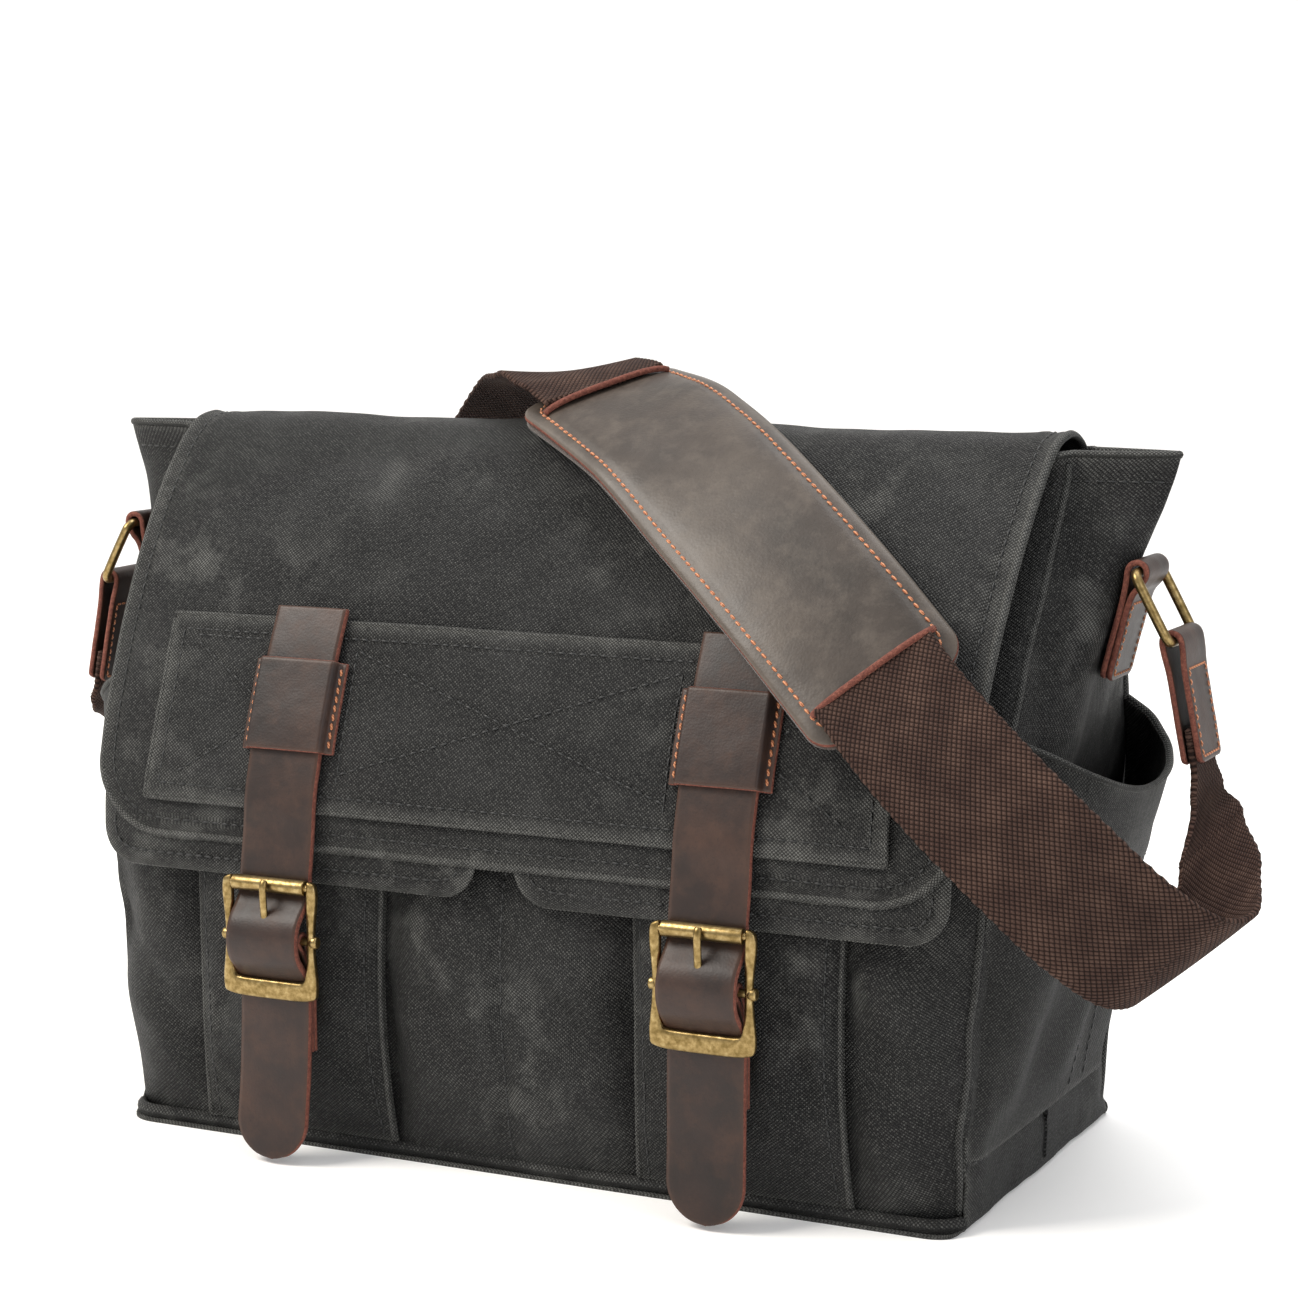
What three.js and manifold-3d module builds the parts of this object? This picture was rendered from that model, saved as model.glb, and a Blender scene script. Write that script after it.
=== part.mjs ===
// A canvas messenger bag with a full front flap, two buckled leather straps,
// two front pockets, two side pockets and a webbing shoulder strap with a pad.
// Millimetres. +Z is up, the front faces -Y, and the origin is the centre of
// the base's underside.
import * as THREE from 'three';
import { mergeVertices } from 'three/addons/utils/BufferGeometryUtils.js';
import Module from 'manifold-3d';

const wasm = await Module();
wasm.setup();

// ---------------------------------------------------------------- sizes
const CANVAS = 1.6; // lined canvas
const FLAP_CANVAS = 2; // the flap is two layers and an edge roll
const LEATHER = 2.2;
const STRAP_LEATHER = 3;
const PRONG_HOLE = 5.4;
const WEBBING = 2.5;
const GAP = 0.4; // clearance between pieces that lie against each other

const BASE_HALF_WIDTH = 174.5;
const BASE_HALF_DEPTH = 90;
const BASE_CORNER = 14;
const BASE_THICK = 2.5;
const FLANGE_TOP = 27; // the base panel wraps this far up each end
const PANEL_FOOT = BASE_THICK + GAP;
const PANEL_TOP = 258;
const GUSSET_TOP = 261;
const RIDGE_RISE = 6; // the pinched ridge stands this much above the gusset's edges

const POCKET_INNER = 50; // front pockets lie between these distances from the middle
const POCKET_OUTER = 134;
const POCKET_FOOT = 9;
const POCKET_TOP = 128;
const POCKET_DEPTH = 8;
const POCKET_FLAP_INNER = 8;
const POCKET_FLAP_OUTER = 172;
const POCKET_FLAP_SEAM = 150; // height of the pocket flaps' sewn edge
const POCKET_FLAP_HEM = 106;

const FLAP_HALF_TOP = 182;
const FLAP_HALF_HEM = 175;
const FLAP_CORNER = 30;

const PATCH_HALF_WIDTH = 150;
const PATCH_TOP = 199;
const PATCH_FOOT = 133;
const PATCH_THICK = 1.4;
const PATCH_STAND = 0.7; // clearance that follows the flap's facets

const STRAP_X = 88; // each strap's centre line
const STRAP_WIDTH = 30;
const STRAP_START = 203;
const STRAP_TIP = 2;
const KEEPER_TOP = 184;
const KEEPER_FOOT = 153;
const KEEPER_HALF_WIDTH = 19;

const BUCKLE_Y = -114.5;
const BUCKLE_Z = 86; // centre bar
const BUCKLE_WIDTH = 42;
const BUCKLE_TOP = 109;
const BUCKLE_FOOT = 63;
const BUCKLE_THICK = 3.6;
const BUCKLE_WINDOW = 32;
const BAR_RADIUS = 1.5;
const TOP_BAR_Z = 106;
const ROLLER_RADIUS = 2.8;

const RING_WIRE = 3.6;
const RING_SPACING = 32; // between the wire's centre lines, front to back
const RING_REACH = 27.3; // between the two bars
const RING_Y = -9;
const RING_BAR = new THREE.Vector3(211, RING_Y, 227);
const RING_LEAN = Math.atan2(13, 24);
const TAB_WIDTH = 24.5;
const TAB_LEAN = THREE.MathUtils.degToRad(14);
const TAB_LENGTH = 40;
const STRAP_END_LENGTH = 43;
const STRAP_END_WIDTH = 25;
const STRAP_END_LEAN = Math.atan2(8.5, 43);

const PAD_HALF_WIDTH = 31;
const PAD_CORNER = 11;
const PAD_LEATHER = 2;
const PAD_SLOT = 14; // from the pad's end to the middle of its slot
const WEB_HALF_WIDTH = 24;

// ---------------------------------------------------------------- materials
function finish(color, roughness, metalness = 0) {
  return new THREE.MeshStandardMaterial({ color, roughness, metalness });
}
const waxedCanvas = finish('#343635', 0.78);
const plainCanvas = finish('#2b2d2c', 0.85);
const liningBoard = finish('#4b4238', 0.8);
const strapLeather = finish('#3a2a24', 0.5);
const padLeather = finish('#564b43', 0.45);
const padFelt = finish('#3b3029', 0.9);
const cottonWebbing = finish('#4e3b34', 0.9);
const antiqueBrass = finish('#9a8040', 0.35, 1);

// ---------------------------------------------------------------- helpers
const lerp = THREE.MathUtils.lerp;
const smooth = (t) => THREE.MathUtils.smoothstep(t, 0, 1);
const bag = new THREE.Group();

// A smooth curve through hand-set [position, value] points, as a function.
function curveThrough(points) {
  const slopes = points.map((_, i) => {
    const before = points[Math.max(i - 1, 0)];
    const after = points[Math.min(i + 1, points.length - 1)];
    return (after[1] - before[1]) / (after[0] - before[0]);
  });
  return (at) => {
    const last = points.length - 2;
    const found = points.findIndex((p) => p[0] > at) - 1;
    const i = found === -2 ? last : Math.max(found, 0);
    const span = points[i + 1][0] - points[i][0];
    const t = THREE.MathUtils.clamp((at - points[i][0]) / span, 0, 1);
    const h = t * t * (3 - 2 * t);
    const rise = t * (1 - t) * (1 - t) * slopes[i] - t * t * (1 - t) * slopes[i + 1];
    return lerp(points[i][1], points[i + 1][1], h) + rise * span;
  };
}

// Turns a closed geometry's faces outwards, whichever way it was mapped.
function facesOut(geometry) {
  const place = geometry.attributes.position;
  const index = geometry.index.array;
  const [a, b, c] = [new THREE.Vector3(), new THREE.Vector3(), new THREE.Vector3()];
  let volume = 0;
  for (let i = 0; i < index.length; i += 3) {
    a.fromBufferAttribute(place, index[i]);
    b.fromBufferAttribute(place, index[i + 1]);
    c.fromBufferAttribute(place, index[i + 2]);
    volume += a.dot(b.cross(c));
  }
  if (volume < 0) {
    for (let i = 0; i < index.length; i += 3) [index[i], index[i + 1]] = [index[i + 1], index[i]];
  }
  return geometry;
}

// A slab between two surfaces: outer(u, v) and inner(u, v), with u and v from 0 to 1.
function slab(uSteps, vSteps, outer, inner) {
  const geometry = new THREE.BoxGeometry(1, 1, 1, uSteps, vSteps, 1);
  const place = geometry.attributes.position;
  for (let i = 0; i < place.count; i += 1) {
    const surface = place.getZ(i) > 0 ? outer : inner;
    const point = surface(place.getX(i) + 0.5, place.getY(i) + 0.5);
    place.setXYZ(i, point.x, point.y, point.z);
  }
  return facesOut(geometry);
}

// Keeps only the positions and merges the shared vertices.
function welded(geometry) {
  const plain = geometry.clone();
  plain.deleteAttribute('normal');
  plain.deleteAttribute('uv');
  return mergeVertices(plain, 1e-4);
}

function toSolid(geometry) {
  const plain = welded(geometry);
  const vertProperties = new Float32Array(plain.attributes.position.array);
  const triVerts = new Uint32Array(plain.index.array);
  return new wasm.Manifold(new wasm.Mesh({ numProp: 3, vertProperties, triVerts }));
}

function toGeometry(solid) {
  const { vertProperties, triVerts } = solid.getMesh();
  const geometry = new THREE.BufferGeometry();
  geometry.setAttribute('position', new THREE.BufferAttribute(vertProperties, 3));
  geometry.setIndex(new THREE.BufferAttribute(triVerts, 1));
  geometry.computeVertexNormals();
  return geometry;
}

const joined = (...parts) => toGeometry(parts.map(toSolid).reduce((all, part) => all.add(part)));
const cut = (body, ...tools) => {
  return toGeometry(tools.map(toSolid).reduce((rest, tool) => rest.subtract(tool), toSolid(body)));
};
const common = (body, other) => toGeometry(toSolid(body).intersect(toSolid(other)));

function boxBetween(low, high) {
  const [x, y, z] = high.map((value, i) => value - low[i]);
  const geometry = new THREE.BoxGeometry(x, y, z);
  return geometry.translate(low[0] + x / 2, low[1] + y / 2, low[2] + z / 2);
}

// A shape drawn in (y, z), extruded along X about the given centre.
function alongX(shape, width, centre = 0, curveSegments = 6) {
  const geometry = new THREE.ExtrudeGeometry(shape, { depth: width, bevelEnabled: false, curveSegments });
  const turn = new THREE.Matrix4().set(0, 0, 1, centre - width / 2, 1, 0, 0, 0, 0, 1, 0, 0, 0, 0, 0, 1);
  return geometry.applyMatrix4(turn);
}

// A shape drawn in (x, z), extruded along Y about the given centre.
function alongY(shape, width, centre = 0, curveSegments = 6) {
  const geometry = new THREE.ExtrudeGeometry(shape, { depth: width, bevelEnabled: false, curveSegments });
  return geometry.rotateX(Math.PI / 2).translate(0, centre + width / 2, 0);
}

function rodAlongX(radius, length, x, y, z, sides = 12) {
  const rod = new THREE.CylinderGeometry(radius, radius, length, sides);
  return rod.rotateZ(Math.PI / 2).translate(x, y, z);
}

function rodAlongY(radius, length, sides = 16) {
  return new THREE.CylinderGeometry(radius, radius, length, sides);
}

function roundedRectangle(path, halfWidth, low, high, radius) {
  path.moveTo(-halfWidth + radius, low);
  path.lineTo(halfWidth - radius, low);
  path.absarc(halfWidth - radius, low + radius, radius, -Math.PI / 2, 0);
  path.lineTo(halfWidth, high - radius);
  path.absarc(halfWidth - radius, high - radius, radius, 0, Math.PI / 2);
  path.lineTo(-halfWidth + radius, high);
  path.absarc(-halfWidth + radius, high - radius, radius, Math.PI / 2, Math.PI);
  path.lineTo(-halfWidth, low + radius);
  path.absarc(-halfWidth + radius, low + radius, radius, Math.PI, Math.PI * 1.5);
  return path;
}

// Half width of a piece near an end with rounded corners.
function roundedHalf(half, fromEnd, radius) {
  const into = radius - Math.min(Math.max(fromEnd, 0), radius);
  return half - (radius - Math.sqrt(radius * radius - into * into));
}

function add(name, geometry, material, parent = bag) {
  const mesh = new THREE.Mesh(welded(geometry), material);
  mesh.name = name;
  parent.add(mesh);
  return mesh;
}

const SIDES = [['left', -1], ['right', 1]];

// ---------------------------------------------------------------- the bag's form
// Half width of the body, and the front and back surfaces, by height.
const halfWidth = curveThrough([[0, 170], [60, 174], [120, 180], [160, 184], [262, 185.5]]);
const frontLine = curveThrough([
  [0, -86], [50, -90], [100, -90], [135, -87], [160, -81], [180, -73], [205, -58], [230, -40], [258, -22],
]);
const backLine = curveThrough([
  [0, 88], [50, 90], [100, 86], [140, 76], [180, 58], [215, 36], [240, 21], [258, 12],
]);
// How far the gusset's centre line stands out where the bag's top is pinched shut.
const ridgeLine = curveThrough([
  [0, 0], [60, 1], [120, 4], [160, 8], [190, 12.5], [210, 16], [228, 20.5], [250, 29], [267, 37],
]);
// How far a side pocket stands out from the body.
const pocketBelly = curveThrough([[28, 1], [60, 8], [90, 14], [113, 20], [150, 27], [172, 29]]);

function edgeDrop(x, z) {
  const edge = Math.max(0, (Math.abs(x) / halfWidth(z) - 0.78) / 0.22);
  return lerp(8, 3, z / PANEL_TOP) * edge * edge;
}
const frontY = (x, z) => frontLine(z) + edgeDrop(x, z);
const backY = (x, z) => backLine(z) - edgeDrop(x, z);

// A sheet's thickness measured along Y where its surface leans.
function thicknessAlongY(line, z, thickness) {
  const slope = (line(z + 1) - line(z - 1)) / 2;
  return thickness * Math.hypot(1, slope);
}

// ---------------------------------------------------------------- body
function basePanel() {
  const shape = new THREE.Shape();
  const inside = BASE_HALF_WIDTH - CANVAS;
  shape.moveTo(-BASE_HALF_WIDTH, FLANGE_TOP);
  shape.lineTo(-BASE_HALF_WIDTH, 3);
  shape.quadraticCurveTo(-BASE_HALF_WIDTH, 0, 3 - BASE_HALF_WIDTH, 0);
  shape.lineTo(BASE_HALF_WIDTH - 3, 0);
  shape.quadraticCurveTo(BASE_HALF_WIDTH, 0, BASE_HALF_WIDTH, 3);
  shape.lineTo(BASE_HALF_WIDTH, FLANGE_TOP);
  shape.lineTo(inside, FLANGE_TOP);
  shape.lineTo(inside, BASE_THICK);
  shape.lineTo(-inside, BASE_THICK);
  shape.lineTo(-inside, FLANGE_TOP);
  const channel = alongY(shape, 2 * BASE_HALF_DEPTH, 0, 3);
  const plan = new THREE.Shape();
  roundedRectangle(plan, BASE_HALF_WIDTH + 1, -BASE_HALF_DEPTH, BASE_HALF_DEPTH, BASE_CORNER);
  const prism = new THREE.ExtrudeGeometry(plan, { depth: 40, bevelEnabled: false, curveSegments: 5 });
  return common(channel, prism.translate(0, 0, -5));
}

function baseBoard() {
  const plan = new THREE.Shape();
  roundedRectangle(plan, 163, -80, 80, 10);
  const board = new THREE.ExtrudeGeometry(plan, { depth: 2.5, bevelEnabled: false, curveSegments: 4 });
  return board.translate(0, 0, PANEL_FOOT);
}

function bodyPanel(line, surfaceY, inward) {
  const at = (depth) => (u, v) => {
    const z = lerp(PANEL_FOOT, PANEL_TOP, v);
    const x = lerp(-1, 1, u) * halfWidth(z);
    return new THREE.Vector3(x, surfaceY(x, z) + inward * thicknessAlongY(line, z, depth), z);
  };
  return slab(14, 14, at(0), at(CANVAS));
}

// The gusset's front and back edges lie just inside the two body panels.
function gussetEdge(z, s) {
  const [surfaceY, line, inward] = s < 0 ? [frontY, frontLine, 1] : [backY, backLine, -1];
  return surfaceY(halfWidth(z), z) + inward * (thicknessAlongY(line, z, CANVAS) + 5 * GAP);
}

function gusset(side) {
  const ridge = (s, z) => halfWidth(z) + ridgeLine(z) * (1 - Math.abs(s) ** 1.4);
  const at = (inside) => (u, v) => {
    const s = lerp(-1, 1, u);
    const z = lerp(PANEL_FOOT, GUSSET_TOP + RIDGE_RISE * (1 - Math.abs(s)), v);
    const y = lerp(gussetEdge(z, -1), gussetEdge(z, 1), u);
    const slope = (2 * 1.4 * ridgeLine(z) * Math.abs(s) ** 0.4) / (gussetEdge(z, 1) - gussetEdge(z, -1));
    const thickness = inside ? CANVAS * Math.hypot(1, slope) : 0;
    return new THREE.Vector3(side * (ridge(s, z) - thickness), y, z);
  };
  return slab(12, 12, at(false), at(true));
}

function sidePocket(side) {
  const at = (out) => (u, v) => {
    const s = lerp(-1, 1, u);
    const rim = 172 - 22 * (1 - s * s);
    const z = lerp(FLANGE_TOP + GAP, rim, v);
    const y = lerp(gussetEdge(z, -1), gussetEdge(z, 1), u);
    const belly = pocketBelly(z) * (1 - Math.abs(s) ** 2.6);
    return new THREE.Vector3(side * (halfWidth(z) + GAP + belly + out), y, z);
  };
  return slab(12, 8, at(CANVAS), at(0));
}

// ---------------------------------------------------------------- front pockets
function frontPocket(side) {
  const middle = (POCKET_INNER + POCKET_OUTER) / 2;
  const half = (POCKET_OUTER - POCKET_INNER) / 2;
  const at = (outside) => (u, v) => {
    const s = lerp(-1, 1, u);
    const z = lerp(POCKET_FOOT, POCKET_TOP, v);
    const x = side * (middle + s * half);
    const swell = POCKET_DEPTH * (1 - s ** 6) * (1 - (1 - v) ** 7);
    const wall = frontY(x, z) - GAP;
    const outer = wall - CANVAS - swell;
    return new THREE.Vector3(x, outside ? outer : Math.min(outer + CANVAS * (1 + s ** 4), wall), z);
  };
  return slab(12, 8, at(true), at(false));
}

function pocketFlap(side) {
  const middle = (POCKET_FLAP_INNER + POCKET_FLAP_OUTER) / 2;
  const half = (POCKET_FLAP_OUTER - POCKET_FLAP_INNER) / 2;
  const at = (outward) => (u, v) => {
    const z = lerp(POCKET_FLAP_SEAM, POCKET_FLAP_HEM, Math.sin((v * Math.PI) / 2));
    const x = side * (middle + lerp(-1, 1, u) * roundedHalf(half, z - POCKET_FLAP_HEM, 14));
    const stand = GAP + (POCKET_DEPTH + CANVAS + GAP) * smooth((POCKET_FLAP_SEAM - z) / 16);
    return new THREE.Vector3(x, frontY(x, z) - stand - outward, z);
  };
  return slab(12, 8, at(CANVAS), at(0));
}

// ---------------------------------------------------------------- flap
// The flap's outer line in (y, z), from the fold at the back over the top to the hem.
const flapCurve = new THREE.SplineCurve([
  [13, 260.5], [9.5, 268], [0, 272.5], [-10, 273], [-22, 269.5], [-38, 256.5], [-60, 231],
  [-79, 200], [-92.5, 168], [-98.5, 150], [-102.2, 136], [-104, 118],
].map(([y, z]) => new THREE.Vector2(y, z)));
const flapLength = flapCurve.getLength();

// A point on the flap's outer line and its outward direction, by share of its length.
function onFlap(share) {
  const at = flapCurve.getPointAt(share);
  const along = flapCurve.getTangentAt(share);
  return { y: at.x, z: at.y, outY: along.y, outZ: -along.x };
}

// The share of the flap's length at which its outer line comes down to a height.
function flapShareAt(height) {
  let [low, high] = [0.2, 1];
  for (let i = 0; i < 30; i += 1) {
    const middle = (low + high) / 2;
    if (flapCurve.getPointAt(middle).y > height) low = middle;
    else high = middle;
  }
  return (low + high) / 2;
}

const flapHalf = (share) => lerp(FLAP_HALF_TOP, FLAP_HALF_HEM, share);

function flapDrop(x, share) {
  const edge = Math.max(0, (Math.abs(x) / flapHalf(share) - 0.75) / 0.25);
  return 4 * smooth(share * 2) * edge * edge;
}

// A point at x, at a share of the flap's length, standing out from its outer face.
function aboveFlap(x, share, out) {
  const line = onFlap(share);
  const stand = out - flapDrop(x, share);
  return new THREE.Vector3(x, line.y + line.outY * stand, line.z + line.outZ * stand);
}

function flap() {
  const at = (out) => (u, v) => {
    const share = Math.sin((v * Math.PI) / 2);
    const half = roundedHalf(flapHalf(share), (1 - share) * flapLength, FLAP_CORNER);
    return aboveFlap(lerp(-1, 1, u) * half, share, out);
  };
  return slab(16, 20, at(0), at(-FLAP_CANVAS));
}

function patch() {
  const [top, foot] = [flapShareAt(PATCH_TOP), flapShareAt(PATCH_FOOT)];
  const at = (out) => (u, v) => aboveFlap(lerp(-1, 1, u) * PATCH_HALF_WIDTH, lerp(top, foot, v), out);
  return slab(14, 8, at(PATCH_STAND + PATCH_THICK), at(PATCH_STAND));
}

// ---------------------------------------------------------------- straps and buckles
const PATCH_TO_STRAP = PATCH_STAND + PATCH_THICK + GAP;

// A band of even thickness about a centre line in (y, z).
function band(centreLine, thickness, steps) {
  const sides = [[], []];
  for (let i = 0; i <= steps; i += 1) {
    const at = centreLine.getPointAt(i / steps);
    const along = centreLine.getTangentAt(i / steps);
    const across = new THREE.Vector2(-along.y, along.x).multiplyScalar(thickness / 2);
    sides[0].push(at.clone().add(across));
    sides[1].unshift(at.clone().sub(across));
  }
  return new THREE.Shape([...sides[0], ...sides[1]]);
}

// The strap's centre line: down the flap, behind the buckle's roller, in front of
// its centre bar, behind its foot, and down as a free tail.
function strapLine() {
  const onTheFlap = [STRAP_START, 190, 177, 164, 150, 136, 124].map((height) => {
    const line = onFlap(flapShareAt(height));
    const stand = PATCH_TO_STRAP + STRAP_LEATHER / 2;
    return [line.y + line.outY * stand, line.z + line.outZ * stand];
  });
  const throughBuckle = [
    [4.7, 24], [4.6, 18.4], [1.4, 12.6], [-4, 6.4], [-5.8, 0], [-4.4, -6.5], [0.9, -13], [3.7, -19],
    [3.7, -26], [3.3, -38], [2.6, -54], [1.2, -70], [0, STRAP_TIP - BUCKLE_Z],
  ].map(([y, z]) => [BUCKLE_Y + y, BUCKLE_Z + z]);
  return new THREE.SplineCurve([...onTheFlap, ...throughBuckle].map(([y, z]) => new THREE.Vector2(y, z)));
}

function strap(x) {
  const ribbon = alongX(band(strapLine(), STRAP_LEATHER, 56), STRAP_WIDTH, x);
  const outline = new THREE.Shape();
  const half = STRAP_WIDTH / 2;
  outline.moveTo(-half - 1, STRAP_START + 20);
  outline.lineTo(-half - 1, STRAP_TIP + half);
  outline.lineTo(-half, STRAP_TIP + half);
  outline.absarc(0, STRAP_TIP + half, half, Math.PI, 2 * Math.PI);
  outline.lineTo(half + 1, STRAP_TIP + half);
  outline.lineTo(half + 1, STRAP_START + 20);
  const tongue = alongY(outline, 120, -100).translate(x, 0, 0);
  const hole = boxBetween(
    [x - PRONG_HOLE / 2, BUCKLE_Y - 12, BUCKLE_Z + 1.5],
    [x + PRONG_HOLE / 2, BUCKLE_Y + 4.2, BUCKLE_Z + 16],
  );
  return cut(common(ribbon, tongue), hole);
}

// A leather loop that stands over the strap and is sewn to the patch at both sides.
function keeper(x) {
  const [top, foot] = [flapShareAt(KEEPER_TOP), flapShareAt(KEEPER_FOOT)];
  const bridge = PATCH_TO_STRAP + STRAP_LEATHER + 0.5;
  const rest = PATCH_STAND + PATCH_THICK + GAP;
  const at = (out) => (u, v) => {
    const s = lerp(-1, 1, u);
    const overStrap = 1 - smooth((Math.abs(s) * KEEPER_HALF_WIDTH - STRAP_WIDTH / 2 - 0.6) / 2);
    const stand = lerp(rest, bridge, overStrap);
    return aboveFlap(x + s * KEEPER_HALF_WIDTH, lerp(top, foot, v), stand + out);
  };
  return slab(20, 3, at(1.8), at(0));
}

function buckleFrame(x) {
  const half = BUCKLE_WIDTH / 2;
  const window = BUCKLE_WINDOW / 2;
  const waist = (BUCKLE_TOP + BUCKLE_FOOT) / 2;
  const shape = new THREE.Shape();
  shape.moveTo(-half + 3, BUCKLE_FOOT);
  shape.lineTo(half - 3, BUCKLE_FOOT);
  shape.quadraticCurveTo(half, BUCKLE_FOOT, half, BUCKLE_FOOT + 3);
  shape.quadraticCurveTo(half - 4, waist, half, BUCKLE_TOP - 3);
  shape.quadraticCurveTo(half, BUCKLE_TOP, half - 3, BUCKLE_TOP);
  shape.lineTo(window, BUCKLE_TOP);
  shape.lineTo(window, BUCKLE_FOOT + 4.2);
  shape.lineTo(-window, BUCKLE_FOOT + 4.2);
  shape.lineTo(-window, BUCKLE_TOP);
  shape.lineTo(-half + 3, BUCKLE_TOP);
  shape.quadraticCurveTo(-half, BUCKLE_TOP, -half, BUCKLE_TOP - 3);
  shape.quadraticCurveTo(-half + 4, waist, -half, BUCKLE_FOOT + 3);
  shape.quadraticCurveTo(-half, BUCKLE_FOOT, -half + 3, BUCKLE_FOOT);
  const frame = alongY(shape, BUCKLE_THICK, BUCKLE_Y, 4).translate(x, 0, 0);
  const bar = rodAlongX(BAR_RADIUS, BUCKLE_WINDOW + 4, x, BUCKLE_Y, BUCKLE_Z, 10);
  const topBar = rodAlongX(BAR_RADIUS, BUCKLE_WINDOW + 4, x, BUCKLE_Y, TOP_BAR_Z, 10);
  return joined(frame, bar, topBar);
}

function buckleRoller(x) {
  const half = BUCKLE_WINDOW / 2 - 0.5;
  const inside = BAR_RADIUS + 0.3;
  const corners = [[inside, -half], [ROLLER_RADIUS, -half], [ROLLER_RADIUS, half], [inside, half]];
  const profile = [...corners, corners[0]].map(([r, h]) => new THREE.Vector2(r, h));
  const tube = new THREE.LatheGeometry(profile, 14);
  return facesOut(tube.rotateZ(Math.PI / 2).translate(x, BUCKLE_Y, TOP_BAR_Z));
}

// The prong turns on the centre bar and rests on the front of the roller.
function buckleProng(x) {
  const eye = 3.3;
  const shape = new THREE.Shape();
  shape.moveTo(eye * Math.cos(0.9), eye * Math.sin(0.9));
  shape.absarc(0, 0, eye, 0.9, -Math.PI * 1.08, true);
  shape.lineTo(-5.4, 21.5);
  shape.lineTo(-4.5, 22.3);
  shape.lineTo(-3.6, 21.4);
  const solid = alongX(shape, 2.6, x).translate(0, BUCKLE_Y, BUCKLE_Z);
  return cut(solid, rodAlongX(BAR_RADIUS + 0.3, 6, x, BUCKLE_Y, BUCKLE_Z));
}

// Folded leather that holds the centre bar and carries the upper half of the snap.
function buckleChape(x) {
  const shape = new THREE.Shape();
  const outer = BAR_RADIUS + 0.3 + 1.9;
  shape.moveTo(outer, 0);
  shape.absarc(0, 0, outer, 0, Math.PI * 1.25, false);
  shape.lineTo(0.3, -6.2);
  shape.lineTo(5.5, -14);
  shape.lineTo(5.5, -43);
  shape.lineTo(9.4, -43);
  shape.lineTo(9.4, -12);
  const fold = alongX(shape, STRAP_WIDTH - 2, x, 5).translate(0, BUCKLE_Y, BUCKLE_Z);
  const eye = rodAlongX(BAR_RADIUS + 0.3, STRAP_WIDTH, x, BUCKLE_Y, BUCKLE_Z);
  const slot = boxBetween([x - 1.9, BUCKLE_Y - 6, BUCKLE_Z - 4.2], [x + 1.9, BUCKLE_Y + 4.4, BUCKLE_Z + 6]);
  return cut(fold, slot, eye);
}

const SNAP_Z = 58;
const CHAPE_BACK = BUCKLE_Y + 9.4;

function disc(radius, thickness, x, back, z) {
  const plate = new THREE.CylinderGeometry(radius, radius, thickness, 16);
  return plate.translate(x, back - thickness / 2, z);
}

// ---------------------------------------------------------------- rings and tabs
// Each lies in its own turned frame whose origin is the bar it hangs from.
const ringBarInner = RING_WIRE / 2 + 0.6;

function ringTab() {
  const loop = ringBarInner + 2;
  const shape = new THREE.Shape();
  shape.moveTo(0.9, -TAB_LENGTH);
  shape.lineTo(0.9, -6);
  shape.lineTo(loop, -2.5);
  shape.absarc(0, 0, loop, -0.4, Math.PI, false);
  shape.lineTo(-3.5, -6);
  shape.lineTo(-3.5, -TAB_LENGTH);
  return cut(alongY(shape, TAB_WIDTH), rodAlongY(ringBarInner, TAB_WIDTH + 2));
}

function ring() {
  const core = 0.7;
  const half = RING_SPACING / 2;
  const outline = roundedRectangle(new THREE.Shape(), half + core, -RING_REACH - core, core, 5);
  const inner = roundedRectangle(new THREE.Path(), half - core, -RING_REACH + core, -core, 3.6);
  outline.holes.push(inner);
  const bevel = RING_WIRE / 2 - core;
  const geometry = new THREE.ExtrudeGeometry(outline, {
    depth: 2 * core,
    bevelEnabled: true,
    bevelThickness: bevel,
    bevelSize: bevel,
    bevelSegments: 1,
    curveSegments: 3,
  });
  return geometry.translate(0, 0, -core).rotateX(Math.PI / 2).rotateZ(Math.PI / 2);
}

// Two layers of leather folded round the ring's lower bar, open below for the webbing.
function strapEnd() {
  const loop = ringBarInner + 2;
  const half = LEATHER + WEBBING / 2 + 0.3;
  const mouth = WEBBING / 2 + 0.3;
  const shape = new THREE.Shape();
  shape.moveTo(half, -STRAP_END_LENGTH);
  shape.lineTo(half, -10);
  shape.lineTo(loop, -3);
  shape.absarc(0, 0, loop, -0.4, Math.PI + 0.4, false);
  shape.lineTo(-half, -10);
  shape.lineTo(-half, -STRAP_END_LENGTH);
  shape.lineTo(-mouth, -STRAP_END_LENGTH);
  shape.lineTo(-mouth, -STRAP_END_LENGTH + 16);
  shape.lineTo(mouth, -STRAP_END_LENGTH + 16);
  shape.lineTo(mouth, -STRAP_END_LENGTH);
  return cut(alongY(shape, STRAP_END_WIDTH), rodAlongY(ringBarInner, STRAP_END_WIDTH + 2));
}

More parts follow.
